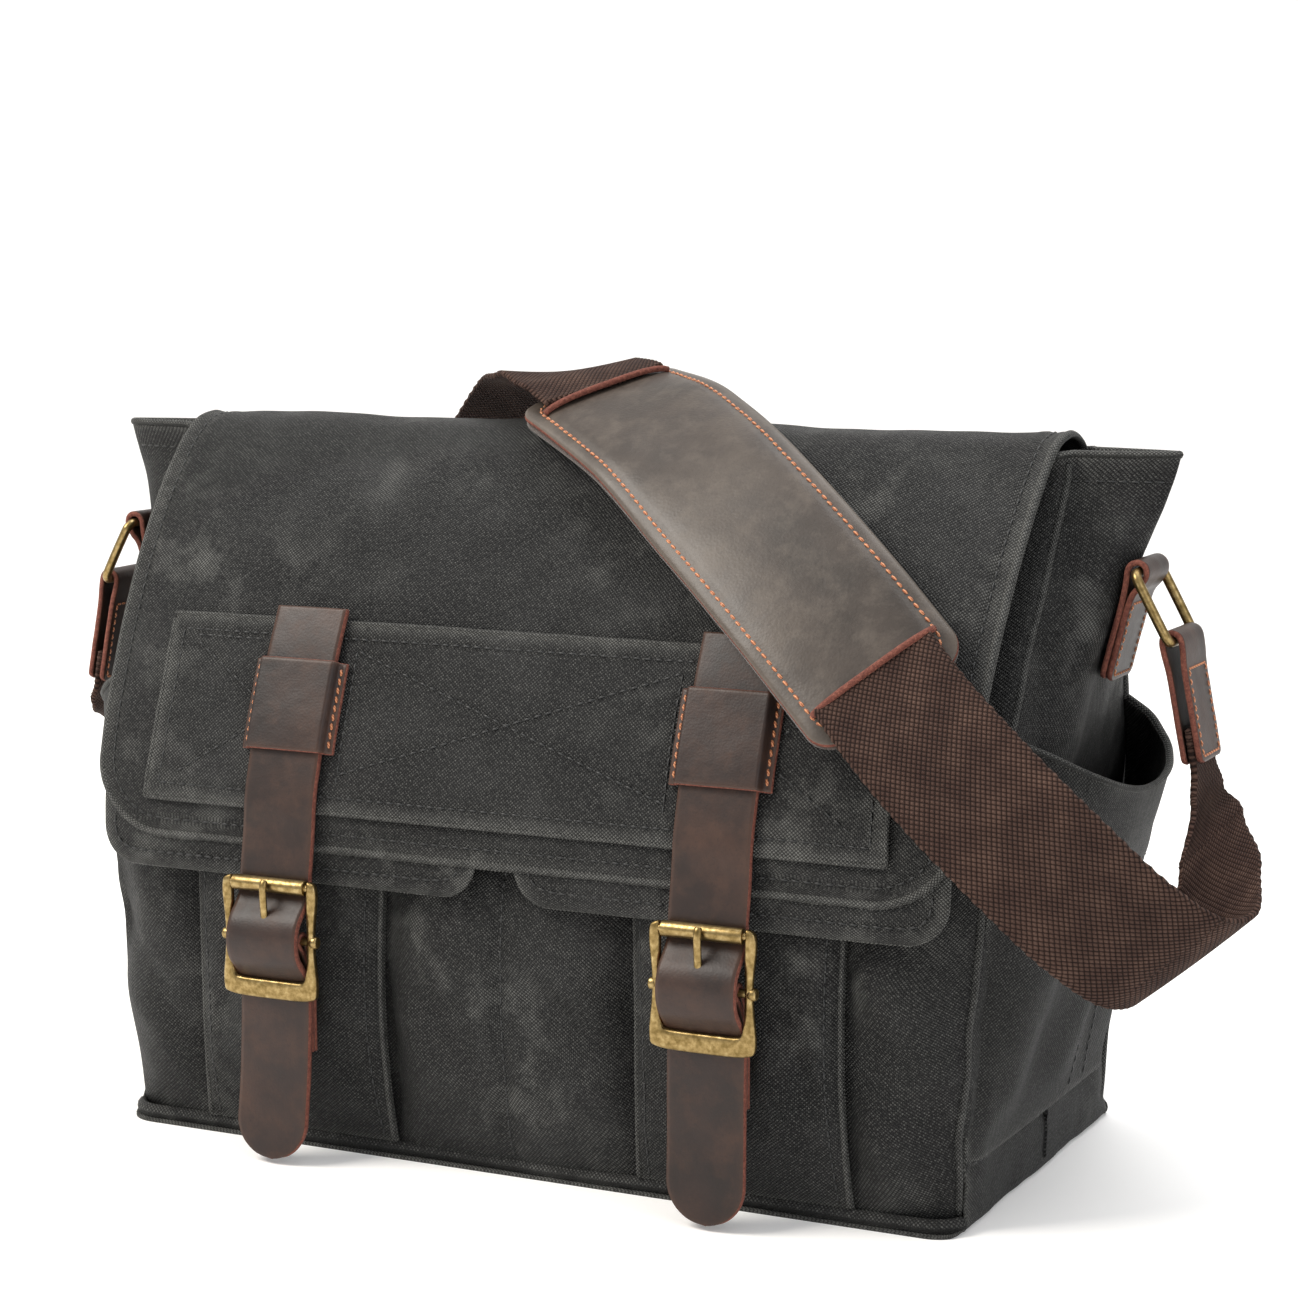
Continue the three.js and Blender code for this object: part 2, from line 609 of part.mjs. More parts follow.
// ---------------------------------------------------------------- shoulder strap
// A ribbon along a centre line, with its width direction and half width by hand
// at each point: [centre], [towards its upper edge], half width.
function ribbon(stations, thickness, steps, widthSteps = 1, outline = () => 1, trim = 0) {
  const points = stations.map((s) => new THREE.Vector3(...s[0]));
  const centre = new THREE.CatmullRomCurve3(points, false, 'centripetal');
  const frameAt = (t) => {
    const at = centre.getPoint(t);
    const along = centre.getTangent(t);
    const span = t * (stations.length - 1);
    const i = Math.min(Math.floor(span), stations.length - 2);
    const across = new THREE.Vector3(...stations[i][1]).normalize();
    across.lerp(new THREE.Vector3(...stations[i + 1][1]).normalize(), smooth(span - i)).normalize();
    const half = lerp(stations[i][2], stations[i + 1][2], smooth(span - i));
    const out = along.clone().cross(across).normalize();
    return { at, across, half, out };
  };
  const at = (layer) => (u, v) => {
    const t = lerp(trim, 1 - trim, v);
    const { at: point, across, half, out } = frameAt(t);
    const reach = lerp(-half, half, u) * outline(t);
    return point.clone().addScaledVector(across, reach).addScaledVector(out, layer);
  };
  return slab(widthSteps, steps, at(thickness / 2), at(-thickness / 2));
}

// The pad is an arc over the flap, from its upper end behind the fold to its lower end.
const PAD_STATIONS = [
  [[-11, -5, 285], [0.67, 0.69, 0.28], PAD_HALF_WIDTH],
  [[34, -35, 271.5], [0.66, 0.6, 0.42], PAD_HALF_WIDTH],
  [[76, -62, 247], [0.657, 0.508, 0.557], PAD_HALF_WIDTH],
  [[116, -83, 218], [0.64, 0.53, 0.55], PAD_HALF_WIDTH],
  [[152, -98, 187], [0.62, 0.55, 0.54], PAD_HALF_WIDTH],
];
const PAD_LENGTH = 213;

// A layer of the pad; trim shortens it by a share of the length at each end.
function padLayer(stand, thickness, margin, trim = 0) {
  const shifted = PAD_STATIONS.map(([at, across, half], i) => {
    const before = new THREE.Vector3(...PAD_STATIONS[Math.max(i - 1, 0)][0]);
    const after = new THREE.Vector3(...PAD_STATIONS[Math.min(i + 1, PAD_STATIONS.length - 1)][0]);
    const out = after.sub(before).cross(new THREE.Vector3(...across)).normalize();
    const moved = new THREE.Vector3(...at).addScaledVector(out, stand + thickness / 2);
    return [moved.toArray(), across, half - margin];
  });
  const outline = (t) => {
    const fromEnd = Math.min(t, 1 - t) * PAD_LENGTH;
    return roundedHalf(PAD_HALF_WIDTH, fromEnd, PAD_CORNER) / PAD_HALF_WIDTH;
  };
  return ribbon(shifted, thickness, 24, 2, outline, trim);
}

// The webbing passes through a slot near each end of the pad's leather.
function padSlot(end) {
  const [at, across] = PAD_STATIONS[end];
  const next = PAD_STATIONS[end === 0 ? 1 : PAD_STATIONS.length - 2][0];
  const centre = new THREE.Vector3(...at);
  const along = new THREE.Vector3(...next).sub(centre).normalize();
  const wide = new THREE.Vector3(...across).normalize();
  const out = wide.clone().cross(along).normalize();
  const slot = new THREE.BoxGeometry(2 * WEB_HALF_WIDTH + 3, 7, 16);
  const place = new THREE.Matrix4().makeBasis(wide, along, out);
  place.setPosition(centre.addScaledVector(along, PAD_SLOT));
  return facesOut(slot.applyMatrix4(place));
}

// The visible length: from the pad's lower slot, across the front, round the
// right end, and up into the right strap end.
const WEB_FRONT = [
  [[142.6, -98, 198.3], [0.62, 0.55, 0.54], WEB_HALF_WIDTH],
  [[158, -106, 184.5], [0.64, 0.53, 0.55], WEB_HALF_WIDTH],
  [[181, -113, 165], [0.68, 0.45, 0.57], WEB_HALF_WIDTH],
  [[208, -115, 142], [0.7, 0.42, 0.58], WEB_HALF_WIDTH],
  [[231, -110, 121], [0.7, 0.43, 0.57], WEB_HALF_WIDTH],
  [[246, -97, 108], [0.68, 0.45, 0.58], WEB_HALF_WIDTH],
  [[252, -78, 107], [0.66, 0.5, 0.56], WEB_HALF_WIDTH],
  [[250, -57, 119], [0.55, 0.65, 0.53], 23],
  [[243, -33, 137], [0.32, 0.86, 0.38], 19],
  [[235.6, -14, 149.5], [0.08, 0.99, 0.1], 14],
  [[232.5, -9.5, 159.5], [0, 1, 0], 12.5],
  [[230, RING_Y, 172.5], [0, 1, 0], 12.5],
];
// The hidden length: from the pad's upper slot, over the top, down behind the bag,
// round the left end and up into the left strap end.
const WEB_BACK = [
  [[0.4, -14.6, 287], [0.67, 0.69, 0.28], WEB_HALF_WIDTH],
  [[-16, -3, 290.5], [0.69, 0.7, 0.18], WEB_HALF_WIDTH],
  [[-34, 13, 288], [0.74, 0.66, -0.05], WEB_HALF_WIDTH],
  [[-58, 37, 275], [0.74, 0.58, -0.34], WEB_HALF_WIDTH],
  [[-92, 66, 247], [0.7, 0.5, -0.5], WEB_HALF_WIDTH],
  [[-130, 88, 215], [0.66, 0.45, -0.6], WEB_HALF_WIDTH],
  [[-175, 104, 174], [0.68, 0.42, -0.6], WEB_HALF_WIDTH],
  [[-214, 106, 139], [0.7, 0.42, -0.58], WEB_HALF_WIDTH],
  [[-239, 96, 117], [0.68, 0.45, -0.58], WEB_HALF_WIDTH],
  [[-250, 77, 109], [0.66, 0.5, -0.56], WEB_HALF_WIDTH],
  [[-251, 53, 117], [0.55, 0.65, -0.53], 23],
  [[-245, 26, 134], [0.32, 0.86, -0.38], 19],
  [[-237, -2, 149], [0.08, 0.99, -0.1], 14],
  [[-232.5, -8.5, 159.5], [0, 1, 0], 12.5],
  [[-230, RING_Y, 172.5], [0, 1, 0], 12.5],
];

// ---------------------------------------------------------------- assembly
add('base_panel', basePanel(), waxedCanvas);
add('base_board', baseBoard(), liningBoard);
add('front_panel', bodyPanel(frontLine, frontY, 1), waxedCanvas);
add('back_panel', bodyPanel(backLine, backY, -1), waxedCanvas);
add('flap', flap(), waxedCanvas);
add('flap_patch', patch(), waxedCanvas);

for (const [name, side] of SIDES) {
  const x = side * STRAP_X;
  const pocketFace = frontY(x, SNAP_Z) - GAP - CANVAS - POCKET_DEPTH;
  const snapRoom = pocketFace - CHAPE_BACK;
  const snapThick = (snapRoom - 3 * 0.35) / 2;
  add(`gusset_${name}`, gusset(side), plainCanvas);
  add(`side_pocket_${name}`, sidePocket(side), plainCanvas);
  add(`front_pocket_${name}`, frontPocket(side), waxedCanvas);
  add(`pocket_flap_${name}`, pocketFlap(side), waxedCanvas);
  add(`strap_${name}`, strap(x), strapLeather);
  add(`keeper_${name}`, keeper(x), strapLeather);
  add(`buckle_frame_${name}`, buckleFrame(x), antiqueBrass);
  add(`buckle_roller_${name}`, buckleRoller(x), antiqueBrass);
  add(`buckle_prong_${name}`, buckleProng(x), antiqueBrass);
  add(`buckle_chape_${name}`, buckleChape(x), strapLeather);
  add(`snap_base_${name}`, disc(9, snapThick, x, pocketFace - 0.35, SNAP_Z), antiqueBrass);
  add(`snap_cap_${name}`, disc(9, snapThick, x, CHAPE_BACK + snapThick + 0.35, SNAP_Z), antiqueBrass);

  const hung = new THREE.Group();
  hung.position.set(side * RING_BAR.x, RING_BAR.y, RING_BAR.z);
  hung.rotation.z = side > 0 ? 0 : Math.PI;
  bag.add(hung);
  add(`ring_tab_${name}`, ringTab(), strapLeather, hung).rotation.y = TAB_LEAN;
  add(`ring_${name}`, ring(), antiqueBrass, hung).rotation.y = -RING_LEAN;
  const end = add(`strap_end_${name}`, strapEnd(), strapLeather, hung);
  end.position.set(RING_REACH * Math.sin(RING_LEAN), 0, -RING_REACH * Math.cos(RING_LEAN));
  end.rotation.y = -STRAP_END_LEAN;
}

const cover = padLayer(0, PAD_LEATHER, 0);
add('pad_cover', cut(cover, padSlot(0), padSlot(PAD_STATIONS.length - 1)), padLeather);
add('pad_base', padLayer(-5.2, 1.5, 1.5), padFelt);
const webMargin = PAD_HALF_WIDTH - WEB_HALF_WIDTH;
add('webbing_middle', padLayer(-3.1, WEBBING, webMargin, PAD_SLOT / PAD_LENGTH), cottonWebbing);
add('webbing_front', ribbon(WEB_FRONT, WEBBING, 44), cottonWebbing);
add('webbing_back', ribbon(WEB_BACK, WEBBING, 50), cottonWebbing);

export default bag;
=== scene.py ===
# %% [markdown]
# # A waxed canvas messenger bag
# The CAD model gives the frame: where each piece is, and which body carries it.
# This lesson replaces its plain solids with sewn cloth, leather, webbing and
# cast brass. Lengths are thought of in millimetres and stored in metres.

# %% Load the frame
import math
from functools import partial

import bpy
import numpy as np
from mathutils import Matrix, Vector


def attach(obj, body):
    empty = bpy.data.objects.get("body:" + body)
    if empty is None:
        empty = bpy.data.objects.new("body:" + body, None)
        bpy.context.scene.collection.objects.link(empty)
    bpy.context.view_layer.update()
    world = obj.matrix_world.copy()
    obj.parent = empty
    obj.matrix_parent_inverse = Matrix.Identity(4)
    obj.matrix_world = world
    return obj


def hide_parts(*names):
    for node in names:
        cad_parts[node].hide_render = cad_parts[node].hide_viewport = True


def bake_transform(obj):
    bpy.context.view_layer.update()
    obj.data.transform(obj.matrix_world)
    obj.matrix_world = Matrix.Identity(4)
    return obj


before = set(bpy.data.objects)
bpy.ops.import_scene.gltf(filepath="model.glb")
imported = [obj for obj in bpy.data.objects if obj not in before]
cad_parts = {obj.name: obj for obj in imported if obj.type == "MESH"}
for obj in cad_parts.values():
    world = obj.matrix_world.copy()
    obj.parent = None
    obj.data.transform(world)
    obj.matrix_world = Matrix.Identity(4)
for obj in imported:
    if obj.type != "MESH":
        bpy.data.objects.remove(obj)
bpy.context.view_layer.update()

MM = 0.001
SIDES = (("left", -1), ("right", 1))
bpy.ops.object.select_all(action="DESELECT")

# %% [markdown]
# ## The camera
# An 85 mm lens from about 1.2 m, 26 degrees round towards the bag's right end and
# a little above it, shows the front and that end. It comes first, because every
# later choice of detail depends on what it sees.

# %% Camera
def aim(thing, target):
    """Turns a camera or a lamp towards a point."""
    direction = Vector(target) - thing.location
    thing.rotation_euler = direction.to_track_quat("-Z", "Y").to_euler()


CAMERA_AT, CAMERA_TARGET = (0.52214, -1.05098, 0.34583), (0.01225, 0, 0.18518)
lens = bpy.data.cameras.new("studio_camera")
lens.lens = 85
lens.sensor_width = 36
camera = bpy.data.objects.new("studio_camera", lens)
camera.location = CAMERA_AT
aim(camera, CAMERA_TARGET)
bpy.context.scene.collection.objects.link(camera)
bpy.context.scene.camera = camera
print("camera distance (m)", round((Vector(CAMERA_AT) - Vector(CAMERA_TARGET)).length, 3))

# %% [markdown]
# ## The studio
# A pale sweep of paper curves up behind the bag, so no horizon shows. One large
# soft lamp hangs high on the left, a weaker one fills the right, and the white
# world does the rest, as in a product photographer's light tent.

# %% Floor and lights
def linear(code):
    """An sRGB hex colour as linear RGBA."""
    parts = [int(code[i : i + 2], 16) / 255 for i in (1, 3, 5)]
    return [c / 12.92 if c <= 0.04045 else ((c + 0.055) / 1.055) ** 2.4 for c in parts] + [1.0]


def add_node(material, kind, inputs=(), stops=(), **settings):
    """Adds a node. Inputs go by name or in order; each is a value, a hex colour,
    a socket, or a node whose first output is linked. Stops fill a colour ramp."""
    made = material.node_tree.nodes.new("ShaderNode" + kind)
    for name, value in settings.items():
        setattr(made, name, value)
    if stops:
        elements = made.color_ramp.elements
        while len(elements) < len(stops):
            elements.new(0.5)
        for element, (position, code) in zip(elements, stops):
            element.position, element.color = position, linear(code)
    for name, value in inputs.items() if isinstance(inputs, dict) else enumerate(inputs):
        value = value.outputs[0] if isinstance(value, bpy.types.Node) else value
        if isinstance(value, bpy.types.NodeSocket):
            material.node_tree.links.new(value, made.inputs[name])
        else:
            made.inputs[name].default_value = linear(value) if isinstance(value, str) else value
    return made


def new_material(name):
    """An empty node material, and add_node tied to it."""
    material = bpy.data.materials.new(name)
    material.use_nodes = True
    material.node_tree.nodes.clear()
    return material, partial(add_node, material)


def backdrop_paper():
    """Matt seamless paper: no gloss, only a faint mottle of fibres."""
    material, add = new_material("backdrop_paper")
    place = add("TexCoord").outputs["Object"]
    fibre = add("TexNoise", {"Vector": place, "Scale": 9.0, "Detail": 4.0})
    tint = add("ValToRGB", (fibre,), [(0.0, "#f6f5f3"), (1.0, "#faf9f8")])
    looks = {"Base Color": tint, "Roughness": 0.9, "Emission Color": "#ffffff", "Emission Strength": 0.16}
    add("OutputMaterial", {"Surface": add("BsdfPrincipled", looks)})
    return material


def sweep():
    """A floor that curves up into a wall behind the bag, seen from the front."""
    profile = [(-3.0, 0.0), (2.4, 0.0)]
    profile += [(2.4 + 1.2 * math.sin(a), 1.2 - 1.2 * math.cos(a)) for a in np.linspace(0.1, math.pi / 2, 14)]
    profile += [(3.6, 4.5)]
    verts = [(x, y, z) for x in (-6.0, 6.0) for y, z in profile]
    n = len(profile)
    faces = [(i, n + i, n + i + 1, i + 1) for i in range(n - 1)]
    mesh = bpy.data.meshes.new("backdrop")
    mesh.from_pydata(verts, [], faces)
    mesh.materials.append(backdrop_paper())
    mesh.shade_smooth()
    made = bpy.data.objects.new("backdrop", mesh)
    made.rotation_euler.z = math.radians(25.9)
    bpy.context.scene.collection.objects.link(made)
    return made


def soft_lamp(name, place, size, watts, colour):
    """A square softbox aimed at the middle of the bag."""
    light = bpy.data.lights.new(name, "AREA")
    light.size = size
    light.energy = watts
    light.color = linear(colour)[:3]
    made = bpy.data.objects.new(name, light)
    made.location = place
    aim(made, (0, 0, 0.13))
    bpy.context.scene.collection.objects.link(made)
    return made


sweep()
soft_lamp("key_softbox", (-1.3, -1.1, 1.9), 1.1, 58, "#fffaf2")
soft_lamp("fill_softbox", (1.7, -1.0, 0.9), 1.4, 9, "#f6f9ff")
soft_lamp("top_softbox", (0.2, 0.6, 2.2), 1.6, 30, "#ffffff")
world = bpy.data.worlds.new("light_tent")
world.use_nodes = True
world.node_tree.nodes["Background"].inputs["Color"].default_value = linear("#ffffff")
world.node_tree.nodes["Background"].inputs["Strength"].default_value = 0.62
bpy.context.scene.world = world
bpy.context.scene.view_settings.view_transform = "Standard"

# %% [markdown]
# ## Finishes
# Each finish starts from what it is: waxed cotton duck, oiled pull-up leather,
# cotton webbing, tumbled brass. Cloth patterns read each piece's own UV map,
# which is its flat cloth in millimetres, so threads bend with the cloth. A
# "wear" value stored on each point is 1 where an edge is rubbed and 0 elsewhere.

# %% Cloth finishes
def finish_material(material, add, base, rough, height, strength, distance, **looks):
    """The last nodes of every finish: its relief, its shader and the output."""
    bump = add("Bump", {"Height": height, "Strength": strength, "Distance": distance})
    names = {name.replace("_", " "): value for name, value in looks.items()}
    shader = add("BsdfPrincipled", {"Base Color": base, "Roughness": rough, "Normal": bump, **names})
    add("OutputMaterial", {"Surface": shader})
    return material


def mottles(add, table):
    """Soft patches, one per (label, place, size, detail, roughness, shift)."""
    made = {}
    for label, place, size, detail, rough, shift in table:
        moved = add("Mapping", {"Vector": place, "Location": (shift,) * 3})
        made[label] = add("TexNoise", {"Vector": moved, "Scale": 1 / size, "Detail": detail, "Roughness": rough})
    return made


def pebble_weave(add, place, across, along, wobble):
    """Staggered thread crossings, 0 between threads and 1 on a thread's crown."""
    drift = mottles(add, [("drift", place, across * 3, 2.0, 0.55, 7.0)])["drift"]
    crowns = []
    for turn in (1, -1):
        slope = (math.pi / across, turn * math.pi / along, 0)
        slant = add("VectorMath", (place, slope), operation="DOT_PRODUCT").outputs["Value"]
        phase = add("Math", (drift, wobble * turn, slant), operation="MULTIPLY_ADD")
        crowns.append(add("Math", (phase,), operation="SINE"))
    return add("Math", (add("Math", crowns, operation="MULTIPLY"),), operation="ABSOLUTE")


def duck_canvas(name, shades, rubbed_and_highlight, thread, wax, chalk):
    """Cotton duck: an oxford weave at 1.5 mm, half as large again as real, stiff with wax.
    The eye sees near-black cloth, cloudy where wax has moved, and pale on every
    fold and edge worn by rubbing. Pale flecks on thread crowns are a painted
    highlight, and the gaps between threads are darkened with painted shade."""
    material, add = new_material(name)
    place = add("UVMap", uv_map="cloth_mm").outputs["UV"]
    body = add("TexCoord").outputs["Object"]
    weave = pebble_weave(add, place, thread, thread * 0.9, 0.6)
    soft = mottles(add, [
        ("clouds", body, 0.045, 5.0, 0.62, 0.0), ("smear", body, 0.02, 6.0, 0.7, 3.1),
        ("patch", body, 0.075, 2.0, 0.55, 8.3), ("ragged", place, 2.6, 4.0, 0.7, 0.0),
        ("speck", place, 1.1, 2.0, 0.55, 2.0), ("slub", place, 4.0, 4.0, 0.55, 0.0),
    ])
    smear = add("MapRange", (soft["smear"], 0.5, 0.72, 0.0, 1.0))
    patch = add("MapRange", (soft["patch"], 0.42, 0.62, 0.0, 1.0))
    ragged = add("MapRange", (soft["ragged"], 0.32, 0.62, 0.25, 1.0))
    speck = add("MapRange", (soft["speck"], 0.42, 0.68, 0.0, 0.42))
    crown = add("MapRange", (weave, 0.25, 0.8, 0.0, 1.0))
    gap = add("MapRange", (weave, 0.0, 0.4, 0.0, 1.0))
    wear = add("Attribute", attribute_name="wear").outputs["Fac"]
    base = add("ValToRGB", (soft["clouds"],), list(zip((0.3, 0.5, 0.7), shades)))
    for first, second, low, amount in ((smear, patch, 0.35, chalk), (wear, ragged, 0.4, 0.8)):
        both = add("Math", (first, second), operation="MULTIPLY")
        on_crown = add("Math", (crown, 1 - low, low), operation="MULTIPLY_ADD")
        share = add("Math", (add("Math", (both, on_crown), operation="MULTIPLY"), amount), operation="MULTIPLY")
        base = add("Mix", {0: share, 6: base, 7: rubbed_and_highlight}, data_type="RGBA").outputs[2]
    # painted highlight: pale flecks on the thread crowns, in the same colour as the real wear
    crown_highlight = add("Math", (crown, speck), operation="MULTIPLY")
    base = add("Mix", {0: crown_highlight, 6: base, 7: rubbed_and_highlight}, data_type="RGBA").outputs[2]
    # painted shade: the gaps between threads are darkened
    groove_shade = add("ValToRGB", (gap,), [(0.0, "#6a6a6a"), (1.0, "#ffffff")])
    base = add("Mix", {0: 1.0, 6: base, 7: groove_shade}, data_type="RGBA", blend_type="MULTIPLY").outputs[2]
    smoother = add("Math", (soft["clouds"], 0.18), operation="MULTIPLY")
    rough = add("Math", (wax + 0.14, smoother), operation="SUBTRACT")
    height = add("Math", (weave, 0.8, soft["slub"]), operation="MULTIPLY_ADD")
    return finish_material(material, add, base, rough, height, 1.0, 0.0005, IOR=1.46, Specular_IOR_Level=0.28)


WAXED_CANVAS = duck_canvas("waxed_duck_canvas", ("#0f0f10", "#191919", "#2b2b2b"), "#7a7a76", 1.5, 0.52, 0.68)
PLAIN_CANVAS = duck_canvas("dry_waxed_duck_canvas", ("#101010", "#1a1a1a", "#292929"), "#757571", 1.5, 0.6, 0.46)


def spun_thread(name, groove_shade, pale):
    """Waxed polyester sewing thread: two plies that twist round each other.
    The grooves between the plies get the darker colour, as painted shade.
    """
    material, add = new_material(name)
    body = add("TexCoord").outputs["Object"]
    ply = add("TexWave", {"Vector": body, "Scale": 450.0, "Distortion": 1.5}, bands_direction="DIAGONAL").outputs["Fac"]
    # painted shade: the darker colour sits in the low grooves of the ply relief
    shade = add("ValToRGB", (ply,), [(0.2, groove_shade), (0.8, pale)])
    return finish_material(material, add, shade, 0.5, ply, 0.5, 0.0001, IOR=1.55)


BLACK_THREAD = spun_thread("black_waxed_thread", "#0c0d0d", "#1b1c1c")
COPPER_THREAD = spun_thread("copper_waxed_thread", "#96502f", "#c98a5e")


def cotton_webbing():
    """Heavy cotton webbing: yarn crowns about 2 mm apart in a staggered weave,
    matt and slightly fuzzy, chocolate brown, with painted shade in the gaps between yarns."""
    material, add = new_material("woven_cotton_webbing")
    place = add("UVMap", uv_map="cloth_mm").outputs["UV"]
    weave = pebble_weave(add, place, 2.1, 2.5, 0.35)
    soft = mottles(add, [("tone", place, 14.0, 4.0, 0.55, 0.0), ("fuzz", place, 0.7, 3.0, 0.55, 0.0)])
    yarn = add("ValToRGB", (soft["tone"],), [(0.3, "#3f2c26"), (0.5, "#4d3931"), (0.72, "#5f493f")])
    # painted shade: the gaps between yarn crowns are darkened
    depth = add("MapRange", (weave, 0.0, 0.5, 0.0, 1.0))
    gap = add("ValToRGB", (depth,), [(0.0, "#54463f"), (0.5, "#bcaea6"), (1.0, "#ffffff")])
    base = add("Mix", {0: 1.0, 6: yarn, 7: gap}, data_type="RGBA", blend_type="MULTIPLY").outputs[2]
    fuzz = add("Math", (soft["fuzz"], 0.22), operation="MULTIPLY")
    height = add("Math", (weave, 1.0, fuzz), operation="MULTIPLY_ADD")
    return finish_material(material, add, base, 0.86, height, 1.0, 0.0009, IOR=1.46, Specular_IOR_Level=0.22)


COTTON_WEBBING = cotton_webbing()
print("cloth finishes", WAXED_CANVAS.name, PLAIN_CANVAS.name, COTTON_WEBBING.name)

# %% [markdown]
# ## Leather and brass
# Pull-up leather is dyed through and oiled: it darkens where oil sits and pales
# where it bends or rubs. Its cut edges stay raw and brick red. The brass is
# tumbled, with dark oxide left in the hollows and bright metal on the edges.

# %% Leather and metal finishes
def pull_up_leather(name, shades, bloom, gloss, grain):
    """Oiled full-grain leather: pores under 1 mm, faint creases, waxy bloom."""
    material, add = new_material(name)
    body = add("TexCoord").outputs["Object"]
    soft = mottles(add, [
        ("clouds", body, 0.03, 5.0, 0.6, 0.0), ("smear", body, 0.009, 6.0, 0.68, 5.0),
        ("creases", body, 0.0035, 5.0, 0.7, 0.0), ("speck", body, 0.0012, 3.0, 0.55, 0.0),
    ])
    base = add("ValToRGB", (soft["clouds"],), list(zip((0.28, 0.5, 0.74), shades)))
    smear = add("Math", (add("MapRange", (soft["smear"], 0.48, 0.8, 0.0, 1.0)), 0.45), operation="MULTIPLY")
    wear = add("Math", (add("Attribute", attribute_name="wear").outputs["Fac"], 0.55), operation="MULTIPLY")
    speck = add("MapRange", (soft["speck"], 0.55, 0.75, 0.0, 0.4))
    for share, colour in ((smear, bloom), (wear, bloom), (speck, shades[0])):
        base = add("Mix", {0: share, 6: base, 7: colour}, data_type="RGBA").outputs[2]
    pores = add("TexVoronoi", {"Vector": body, "Scale": 1000 / grain, "Randomness": 0.9}).outputs["Distance"]
    height = add("Math", (pores, 0.45, soft["creases"]), operation="MULTIPLY_ADD")
    rough = add("Math", (soft["smear"], 0.22, gloss), operation="MULTIPLY_ADD")
    return finish_material(material, add, base, rough, height, 0.35, 0.00022, IOR=1.5, Specular_IOR_Level=0.4)


def pressed_fibres(name, size, detail, tangle, stops, rough, strength, distance, **looks):
    """Short fibres with no direction, matt, one noise for both shade and relief."""
    material, add = new_material(name)
    body = add("TexCoord").outputs["Object"]
    fibre = mottles(add, [("fibre", body, size, detail, tangle, 0.0)])["fibre"]
    shade = add("ValToRGB", (fibre,), stops)
    return finish_material(material, add, shade, rough, fibre, strength, distance, **looks)


def tumbled_brass():
    """Antiqued cast brass: satin, mottled, with oxide in its hollows."""
    material, add = new_material("tumbled_antique_brass")
    body = add("TexCoord").outputs["Object"]
    soft = mottles(add, [("tarnish", body, 0.0022, 5.0, 0.6, 0.0), ("pits", body, 0.0009, 4.0, 0.55, 0.0)])
    hollow = add("MapRange", (add("NewGeometry").outputs["Pointiness"], 0.44, 0.56, -0.08, 0.1))
    tone = add("Math", (soft["tarnish"], hollow), operation="ADD")
    shade = add("ValToRGB", (tone,), [(0.2, "#5a4b2a"), (0.42, "#7a663e"), (0.6, "#978156"), (0.85, "#b9a679")])
    rough = add("MapRange", (soft["tarnish"], 0.3, 0.75, 0.42, 0.27))
    return finish_material(material, add, shade, rough, soft["pits"], 0.25, 0.00012, Metallic=1.0)


STRAP_LEATHER = pull_up_leather("oiled_strap_leather", ("#150e0b", "#261813", "#3c271d"), "#4d3325", 0.36, 0.9)
PAD_LEATHER = pull_up_leather("waxed_pull_up_leather", ("#2f2924", "#3e3630", "#4e453d"), "#675d53", 0.32, 1.1)
RAW_EDGE = pressed_fibres(  # a cut leather edge: fuzzy layers, brick red
    "raw_cut_leather_edge", 0.0011, 5.0, 0.75, [(0.3, "#4a241c"), (0.5, "#6c3a2d"), (0.72, "#8f5846")],
    0.88, 0.9, 0.0005, IOR=1.5,
)
WOOL_FELT = pressed_fibres(  # tangled wool, dark brown, with a soft sheen
    "pressed_wool_felt", 0.0016, 6.0, 0.8, [(0.3, "#2a211c"), (0.7, "#4c3d34")], 0.95, 0.9, 0.0006, Sheen_Weight=0.3
)
BRASS = tumbled_brass()
FIBRE_BOARD = pressed_fibres(  # flecks of pulp in dull brown, for the hidden base
    "pressed_fibre_board", 0.003, 6.0, 0.75, [(0.3, "#3b332b"), (0.7, "#62574a")], 0.85, 0.5, 0.0003
)
print("materials", len(bpy.data.materials))

# %% [markdown]
# ## The bag's form
# The pattern cutter's lines come first: how wide and how deep the bag is at
# each height. Every cloth piece is laid on these lines, so seams meet.

# %% Curves by height
PANEL_FOOT, PANEL_TOP, GUSSET_TOP = 2.9, 258.0, 267.0
GAP, CANVAS = 0.4, 1.6


def curve_through(points):
    """A smooth function through [position, value] points."""
    at, value = np.array(points, float).T
    before = np.maximum(np.arange(len(at)) - 1, 0)
    after = np.minimum(np.arange(len(at)) + 1, len(at) - 1)
    slope = (value[after] - value[before]) / (at[after] - at[before])

    def curve(x):
        i = np.clip(np.searchsorted(at, x, side="right") - 1, 0, len(at) - 2)
        span = at[i + 1] - at[i]
        t = np.clip((x - at[i]) / span, 0, 1)
        rise = t * (1 - t) ** 2 * slope[i] - t * t * (1 - t) * slope[i + 1]
        return value[i] + (value[i + 1] - value[i]) * t * t * (3 - 2 * t) + rise * span

    return curve


half_width = curve_through([[0, 170], [60, 174], [120, 180], [160, 184], [262, 185.5]])
front_line = curve_through(
    [[0, -86], [50, -90], [100, -90], [135, -87], [160, -81], [180, -73], [205, -58], [230, -40], [258, -22]]
)
back_line = curve_through(
    [[0, 88], [50, 90], [100, 86], [140, 76], [180, 58], [215, 36], [240, 21], [258, 12]]
)
ridge_line = curve_through(
    [[0, 0], [60, 1], [120, 4], [160, 8], [190, 13], [210, 17.5], [228, 23], [250, 31], [267, 36]]
)
pocket_belly = curve_through([[28, 1], [60, 8], [90, 14], [113, 20], [150, 27], [172, 29]])


def lerp(a, b, t):
    return a + (b - a) * t


def smooth(t):
    t = np.clip(t, 0, 1)
    return t * t * (3 - 2 * t)


